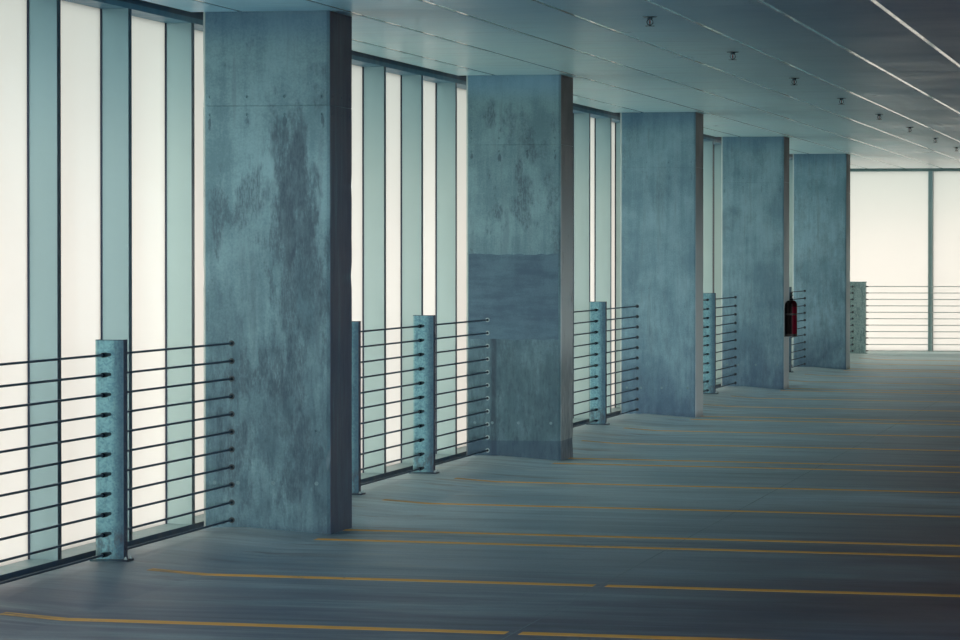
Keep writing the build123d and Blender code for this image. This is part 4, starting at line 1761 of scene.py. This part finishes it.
@dataclass
class Glazing:
    """Rubber gaskets between the mullions and the panes."""

    deck: Deck
    modules_per_bay: int = 6
    face: float = 32.0 * MM
    gasket_width: float = 4.0 * MM
    gasket_depth: float = 5.0 * MM
    narrowest: float = 150.0 * MM
    corner_reach: float = 68.5 * MM

    def build(self) -> None:
        """Makes the gaskets of the three glazed walls."""
        z0, z1 = (corner[2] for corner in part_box("right_mullions"))
        side_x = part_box("right_glass")[0][0] - self.gasket_depth / 2
        end_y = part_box("end_glass")[0][1] - self.gasket_depth / 2
        middle, reach = (z0 + z1) / 2, (self.face + self.gasket_width) / 2
        places = [
            place_at((side.value * side_x, y + offset, middle))
            for y in self.side_lines() for offset in (-reach, reach) for side in Side
        ]
        places += [
            place_at((x + offset, end_y, middle), (0, 0, math.pi / 2))
            for x in self.end_lines() for offset in (-reach, reach)
        ]
        values = {"Width": self.gasket_width, "Depth": self.gasket_depth, "Height": z1 - z0,
                  "Finish": RUBBER.material()}
        dress(grow("glazing_gaskets", Trees.strips(), places, values), RUBBER, Slot.MULLION)

    def module(self) -> float:
        """Distance from one mullion to the next."""
        return (self.deck.column_ys[1] - self.deck.column_ys[0]) / self.modules_per_bay

    def side_lines(self) -> list[float]:
        """Middle lines of a long side's mullions, without the jamb at the open end.

        Returns:
            The Y of each mullion.
        """
        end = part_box("end_mullions")[0][1]
        first = self.deck.column_ys[0] + self.deck.column_length / 2
        count = int((end - self.narrowest - first) / self.module()) + 1
        return [first + self.module() * i for i in range(count)]

    def end_lines(self) -> list[float]:
        """Middle lines of the end wall's mullions."""
        count = int((self.deck.column_outer + self.corner_reach - self.narrowest) / self.module())
        return [self.module() * i for i in range(-count, count + 1)]


@dataclass
class Barrier:
    """Strand cables with their sleeves and anchors, and the bolts of the posts."""

    deck: Deck
    plating: Finish
    cable_diameter: float = 6.4 * MM
    cable_sides: int = 10
    sleeve_length: float = 70.0 * MM
    sleeve_radius: float = 6.6 * MM
    shank_length: float = 31.0 * MM
    shank_radius: float = 4.6 * MM
    washer_radius: float = 8.8 * MM
    nut_radius: float = 5.4 * MM
    ferrule_length: float = 22.0 * MM
    ferrule_radius: float = 4.9 * MM
    bolt_inset: float = 7.0 * MM
    smooth_degrees: float = 50.0
    seed: int = 7

    def build(self) -> None:
        """Makes cables, sleeves, anchors and bolts."""
        self.cables()
        self.sleeves()
        self.anchors()
        self.bolts()

    def cables(self) -> None:
        """Draws each side's cables and the end barrier's."""
        deck = self.deck
        runs = [(y0, y1 - y0, z) for y0, y1 in deck.spans() for z in deck.cable_zs]
        for side in Side:
            places = [place_at((side.value * deck.cable_x, y, z)) for y, _, z in runs]
            self.strands(side.label, STRAND, places, [reach for _, reach, _ in runs])
        turn = (0, 0, -math.pi / 2)
        places = [place_at((-deck.corner_inner, deck.end_cable_y, z), turn) for z in deck.cable_zs]
        self.strands("end", PALE_STRAND, places, [2 * deck.corner_inner] * CABLES)

    def strands(self, where: str, finish: Finish, places: list[Matrix], reaches: list[float]) -> None:
        """Draws one barrier's cables, in place of its node.

        Args:
            where: The side, as the nodes have it.
            finish: The cables' finish.
            places: Where they start.
            reaches: How long they are.
        """
        values = {"Diameter": self.cable_diameter, "Sides": self.cable_sides, "Finish": finish.material()}
        piece = grow(f"{where}_strand_cables", Trees.cables(), places, values, reaches)
        smooth(piece.data, self.smooth_degrees)
        dress(piece, finish, Slot.CABLE, f"{where}_barrier_cables")

    @staticmethod
    def toward(spot: Sequence[float], direction: Sequence[float]) -> Matrix:
        """A place with its Z along a direction."""
        turn = Vector(direction).to_track_quat("Z", "Y").to_matrix().to_4x4()
        return Matrix.Translation(spot) @ turn

    def sleeves(self) -> None:
        """Swages a sleeve on each cable where it meets the near side of a post."""
        deck, shell = self.deck, Shell()
        r, end, c = self.sleeve_radius, self.sleeve_length, self.cable_diameter / 2
        shell.turned(
            [(self.shank_radius, 0.0), (self.shank_radius, self.shank_length),
             (r, self.shank_length + 1.5 * MM), (r, end - 5 * MM), (r * 0.8, end - 1.5 * MM),
             (c * 1.02, end)], 12,
        )
        part = shell.part("sleeve")
        web = deck.post_depth / 2
        places = [
            self.toward((side.value * deck.cable_x, y - web, z), (0, -1, 0))
            for side in Side for y in deck.post_ys() for z in deck.cable_zs
        ]
        places += [
            self.toward((x - web, deck.end_cable_y, z), (-1, 0, 0))
            for x in deck.end_post_xs() for z in deck.cable_zs
        ]
        copy_part("cable_sleeves", part, places, SWAGED, Slot.CABLE)

    def anchor_places(self) -> list[Matrix]:
        """Where cables are made fast, each turned towards its cable.

        Returns:
            The places.
        """
        deck = self.deck
        places = [
            self.toward((side.value * deck.cable_x, y, z), (0, way, 0))
            for side in Side for ends in deck.spans() for z in deck.cable_zs
            for y, way in zip(ends, (1, -1))
        ]
        return places + [
            self.toward((sign * deck.corner_inner, deck.end_cable_y, z), (-sign, 0, 0))
            for sign in SIGNS for z in deck.cable_zs
        ]

    def anchors(self) -> None:
        """Makes a washer with its nut, and a ferrule, at each end of a cable."""
        r, nut, wide = self.washer_radius, self.nut_radius, self.ferrule_radius
        end, c = self.ferrule_length, self.cable_diameter / 2
        washer, ferrule = Shell(), Shell()
        washer.turned([(r, 0.0), (r, 1.4 * MM), (r * 0.93, 1.9 * MM), (r * 0.5, 2.0 * MM)], 16)
        washer.turned([(nut * 0.94, 1.5 * MM), (nut, 2.4 * MM), (nut, 5.6 * MM),
                       (nut * 0.88, 6.4 * MM)], 6)
        places = self.anchor_places()
        copy_part("anchor_washers", washer.part("washer"), places, self.plating, Slot.GALVANISED)
        ferrule.turned([(wide, 5.0 * MM), (wide, end - 12 * MM), (wide * 0.75, end - 7 * MM),
                        (wide * 0.72, end - 2 * MM), (c * 1.02, end)], 12)
        copy_part("anchor_ferrules", ferrule.part("ferrule"), places, SWAGED, Slot.CABLE)

    def bolts(self) -> None:
        """Bolts the posts' base plates down, one bolt at each corner."""
        deck, shell = self.deck, Shell()
        shell.turned(in_mm((5.2, 0), (5.2, 0.9), (4.9, 1.2)), 12)
        shell.turned(in_mm((3.6, 1), (3.8, 1.5), (3.8, 3.9), (3.3, 4.5)), 6)
        shell.turned(in_mm((2.1, 4), (2.1, 7), (1.7, 7.6)), 8)
        part = shell.part("bolt")
        half_w = deck.post_width / 2 + deck.base_lip - self.bolt_inset
        half_d = deck.post_depth / 2 + deck.base_lip - self.bolt_inset
        z = deck.wash_z + deck.base_thickness
        spots = [(side.value * deck.cable_x + sx * half_w, y + sy * half_d)
                 for side in Side for y in deck.post_ys() for sx in SIGNS for sy in SIGNS]
        spots += [(x + sx * half_d, deck.end_cable_y + sy * half_w)
                  for x in deck.end_post_xs() for sx in SIGNS for sy in SIGNS]
        draw = random.Random(self.seed)
        places = [place_at((x, y, z), (0, 0, draw.uniform(0, 1.0))) for x, y in spots]
        copy_part("base_plate_bolts", part, places, PLATED, Slot.GALVANISED)


@dataclass
class Sprinklers:
    """Hanging heads: a rose, a threaded body, a frame with its bulb, and a toothed deflector."""

    deck: Deck
    row: float = 872.5 * MM
    start: float = 457.5 * MM
    per_bay: int = 2
    rose: float = 22.5 * MM
    drop: float = 30.0 * MM
    deflector: float = 14.0 * MM
    teeth: int = 12
    arm_top: float = -11.0 * MM
    arm_foot: float = 2.5 * MM
    arm_reach: float = 9.0 * MM
    arm_steps: int = 8

    def build(self) -> None:
        """Makes the heads and their bulbs."""
        places = self.places()
        copy_part("sprinkler_heads", self.head(), places, CHROME, Slot.SPRINKLER, "sprinklers")
        copy_part("sprinkler_bulbs", self.bulb(), places, BULB, Slot.SPRINKLER)

    def places(self) -> list[Matrix]:
        """Where the heads hang from the ceiling.

        Returns:
            The places.
        """
        deck = self.deck
        step = (deck.column_ys[1] - deck.column_ys[0]) / self.per_bay
        x = deck.column_inner - self.row
        return [
            place_at((side.value * x, y + self.start + step * i, deck.ceiling_z))
            for y in deck.column_ys for i in range(self.per_bay) for side in Side
        ]

    def head(self) -> Object:
        """The metal parts of a head, its top at the origin.

        Returns:
            The head.
        """
        shell, r = Shell(), self.rose
        shell.turned([(r, 0.0), (r, -3.4 * MM), (r * 0.86, -5.0 * MM), (r * 0.5, -6.2 * MM),
                      (r * 0.38, -6.6 * MM)], 20)
        shell.turned(in_mm((7, -4), (7, -9), (5.6, -9.6), (5.6, -11.5)), 12)
        shell.turned(in_mm((8.2, -8), (8.2, -10.6)), 6)
        foot = -self.drop + self.arm_foot
        for sign in SIGNS:
            route = []
            for angle in spread(0.0, math.pi, self.arm_steps):
                out = self.arm_foot + (self.arm_reach - self.arm_foot) * math.sin(angle)
                z = self.arm_top + (foot - self.arm_top) * (1 - math.cos(angle)) / 2
                route.append(Vector((sign * out, 0, z)))
            shell.tube(route, 1.5 * MM, 6)
        shell.turned([(3.2 * MM, foot + 1.5 * MM), (4.0 * MM, foot), (2.4 * MM, -self.drop)], 10)
        self.toothed(shell)
        return shell.part("head", 30.0)

    def toothed(self, shell: Shell) -> None:
        """Adds the deflector, its rim slit into teeth.

        Args:
            shell: The mesh that gets it.
        """
        rim, slits = (circle(r, self.teeth * 4) for r in (self.deflector, self.deflector * 0.62))
        ring = [rim[i] if i % 4 in (0, 1) else slits[i] for i in range(self.teeth * 4)]
        shell.loft([[Vector((x, y, z)) for x, y in ring] for z in (-self.drop, -self.drop - 1.4 * MM)])

    def bulb(self) -> Object:
        """The glass bulb between the arms.

        Returns:
            The bulb.
        """
        shell = Shell()
        shell.turned(in_mm((0.7, -11.5), (1.7, -13.5), (2.1, -18), (1.7, -23), (0.7, -26.5)), 10)
        return shell.part("bulb")


@dataclass
class Extinguisher:
    """A powder extinguisher on its bracket, with no label."""

    enamel: Finish
    radius: float = 36.75 * MM
    wall_top: float = 185.0 * MM
    body_top: float = 217.0 * MM
    neck: float = 9.0 * MM
    neck_height: float = 22.0 * MM
    foot: float = 14.0 * MM
    lever_gap: float = 24.0 * MM
    strap_rise: float = 128.0 * MM
    sides: int = 48
    steps: int = 8
    grip_length: float = 58.0 * MM
    pin_ring: float = 7.0 * MM
    axis: Matrix = field(init=False)

    def build(self) -> None:
        """Makes the cylinder, its foot, valve, levers, gauge and strap."""
        low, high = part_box("fire_extinguisher")
        x = (low[0] + high[0]) / 2
        self.axis = place_at((x, low[1] + self.radius, low[2]))
        dress(self.cylinder(), self.enamel, Slot.ENAMEL, "fire_extinguisher")
        dress(self.plastics(), BLACK_PLASTIC, Slot.ENAMEL)
        dress(self.valve(), SWAGED, Slot.CABLE)
        dress(self.dial(), DIAL, Slot.BRACKET)
        dress(self.strap(), BLACK_PLASTIC, Slot.BRACKET)

    def cylinder(self) -> Object:
        """The steel cylinder, with its drawn shoulder and its neck ring.

        Returns:
            The cylinder.
        """
        shell = Shell()
        outline = [(self.radius * 0.9, 3 * MM), (self.radius, 6 * MM), (self.radius, self.wall_top)]
        for angle in spread(0.0, math.pi / 2, self.steps)[1:]:
            outline.append((
                self.neck + 3 * MM + (self.radius - self.neck - 3 * MM) * math.cos(angle),
                self.wall_top + (self.body_top - self.wall_top) * math.sin(angle),
            ))
        outline += [(self.neck + 2.6 * MM, self.body_top + 4 * MM), (self.neck, self.body_top + 5 * MM)]
        shell.turned(outline, self.sides, self.axis)
        return shell.part("extinguisher_cylinder")

    def plastics(self) -> Object:
        """The foot, and the grips on the levers.

        Returns:
            The foot and grips.
        """
        shell = Shell()
        shell.turned([(self.radius * 0.8, 0.0), (self.radius + 0.6 * MM, 0.8 * MM),
                      (self.radius + 0.6 * MM, self.foot), (self.radius, self.foot + 1.2 * MM)],
                     self.sides, self.axis)
        top = self.body_top + self.neck_height
        for z, thick in ((top + 1 * MM, 5 * MM), (top + self.lever_gap, 5.5 * MM)):
            rings, way = [], -1 if z > top + 5 * MM else 1
            for t in spread(0.0, 1.0, self.steps):
                y, half = -7 * MM + t * self.grip_length, (5.5 - 1.4 * t) * MM
                rise = 5 * MM * t * t * way * 0.6
                rings.append([self.axis @ Vector((sx * half, y, z + rise + sz * thick / 2))
                              for sx, sz in ((-1, -1), (1, -1), (1, 1), (-1, 1))])
            shell.loft(rings)
        return shell.part("extinguisher_plastics", 40.0)

    def valve(self) -> Object:
        """The valve on the neck, its outlet and the ring of its pin.

        Returns:
            The valve.
        """
        shell = Shell()
        top = self.body_top
        shell.turned(in_mm((11, 3), (12, 5), (12, 10), (8.5, 11), (8.5, 27), (6, 29), (6, 44), (4, 46),
                           base=top), 16, self.axis)
        out = self.axis @ place_at((0, -6 * MM, top + 17 * MM), (math.pi / 2, 0, 0))
        shell.turned(in_mm((5, 0), (5, 9), (6.5, 10), (6.5, 15)), 12, out)
        ring = [self.axis @ Vector((10 * MM, 4 * MM + y, top + 30 * MM + z))
                for y, z in circle(self.pin_ring, 16)]
        shell.tube([*ring, ring[0]], 0.9 * MM, 6)
        return shell.part("extinguisher_valve")

    def dial(self) -> Object:
        """The gauge on the valve's inner side, with a plain face.

        Returns:
            The gauge.
        """
        shell = Shell()
        place = self.axis @ place_at((8 * MM, 0, self.body_top + 19 * MM), (0, math.pi / 2, 0))
        shell.turned(in_mm((7, 0), (7.6, 1), (7.6, 4.5), (6.6, 5)), 20, place)
        return shell.part("extinguisher_gauge")

    def strap(self) -> Object:
        """The band that holds the cylinder to its bracket.

        Returns:
            The band.
        """
        shell = Shell()
        z, r = self.strap_rise, self.radius
        shell.turned([(r - 0.5 * MM, z), (r + 0.8 * MM, z + 0.4 * MM), (r + 0.8 * MM, z + 10 * MM),
                      (r - 0.5 * MM, z + 10.4 * MM)], self.sides, self.axis)
        return shell.part("extinguisher_strap")


@dataclass
class Studio:
    """Camera, lights, background and floor."""

    camera_place: tuple[float, float, float] = (-1.860, -19.61775, 0.9885)
    camera_pitch: float = -0.97
    camera_yaw: float = 10.573
    focal_pixels: float = 3900.0
    frame_pixels: float = 960.0
    sensor_mm: float = 36.0
    camera_reach: float = 500.0
    fill: float = 0.57
    key: float = 4.7
    key_from: tuple[float, float, float] = (-0.62, 0.74, 0.27)
    front: float = 2.0
    front_from: tuple[float, float, float] = (0.42, -0.90, 0.01)
    soft: float = 25.0
    front_soft: float = 12.0
    floor_half: float = 120.0

    def build(self) -> None:
        """Sets the camera, the lights and the floor."""
        self.camera()
        self.sky()
        self.sunlight()
        self.ground()

    def camera(self) -> None:
        """Puts the camera where the photograph was taken."""
        data = bpy.data.cameras.new("camera")
        data.sensor_width = self.sensor_mm
        data.lens = self.focal_pixels * self.sensor_mm / self.frame_pixels
        data.clip_end = self.camera_reach
        camera = link_new("camera", data)
        camera.location = self.camera_place
        camera.rotation_euler = (
            math.radians(90 + self.camera_pitch), 0.0, math.radians(self.camera_yaw),
        )
        bpy.context.scene.camera = camera

    def sky(self) -> None:
        """Lights the storey evenly from all round, before a white background."""
        world = bpy.data.worlds.new("studio")
        world.use_nodes = True
        world.node_tree.nodes.clear()
        add = partial(add_node, world.node_tree)
        path = add("ShaderNodeLightPath")
        strength = add(
            "ShaderNodeMapRange",
            {"Value": path.outputs["Is Camera Ray"], "To Min": self.fill, "To Max": 1.0}
        )
        light = add("ShaderNodeBackground", {"Color": linear("#ffffff"), "Strength": strength})
        add("ShaderNodeOutputWorld", {"Surface": light})
        bpy.context.scene.world = world

    def sunlight(self) -> None:
        """Adds the soft key light behind the left and end panes, and a weak one at the open end."""
        for name, energy, source, soft in (
            ("key", self.key, self.key_from, self.soft),
            ("front", self.front, self.front_from, self.front_soft),
        ):
            data = bpy.data.lights.new(name, "SUN")
            data.energy = energy
            data.angle = math.radians(soft)
            lamp = link_new(name, data)
            lamp.rotation_euler = Vector(source).to_track_quat("Z", "Y").to_euler()

    def ground(self) -> None:
        """Lays the pale floor that the storey stands on."""
        shell, half = Shell(), self.floor_half
        shell.box((-half, -half, -0.02), (half, half, 0.0))
        ground = shell.part("studio_floor")
        ground.data.materials.append(STUDIO_FLOOR.material())


def dress_nodes(nodes: dict[str, Object], wear: Wear) -> None:
    """Gives each CAD node that shows its finish.

    Args:
        nodes: The frame's nodes, by name.
        wear: The finishes whose stains, and painted light and shade, have their places in the storey.
    """
    for name, node in nodes.items():
        for key, (plain, slot) in NODE_FINISHES.items():
            if key in name:
                finish = wear.nodes(name) or plain
                node.data.materials.clear()
                node.data.materials.append(finish.material())
                LOG.info("%s: %s, %s", name, finish.name, slot.value)


def main() -> None:
    """Dresses the storey, piece by piece."""
    logging.basicConfig(level=logging.INFO, format="%(message)s")
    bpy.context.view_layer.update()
    deck = Deck.measure()
    wear = Wear(
        deck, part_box("right_sill_rail")[1][2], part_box("right_head_rail")[0][2],
        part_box("right_barrier_posts")[1][2],
    )
    dress_nodes(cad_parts, wear)
    parts: list[Callable[[], Any]] = [
        Studio().build,
        Floor(deck, wear.lines()).build,
        Ceiling(deck).build,
        Slabs(deck).build,
        *[Column(deck, side, i, wear.column(i)).build for side in Side for i in BAYS],
        ColumnRepairs(deck).build,
        Glazing(deck).build,
        Barrier(deck, wear.washers()).build,
        Sprinklers(deck).build,
        Extinguisher(wear.enamel()).build,
    ]
    for part in parts:
        part()
    scene = bpy.context.scene
    scene.view_settings.view_transform = "Standard"


if __name__ == "__main__":
    main()
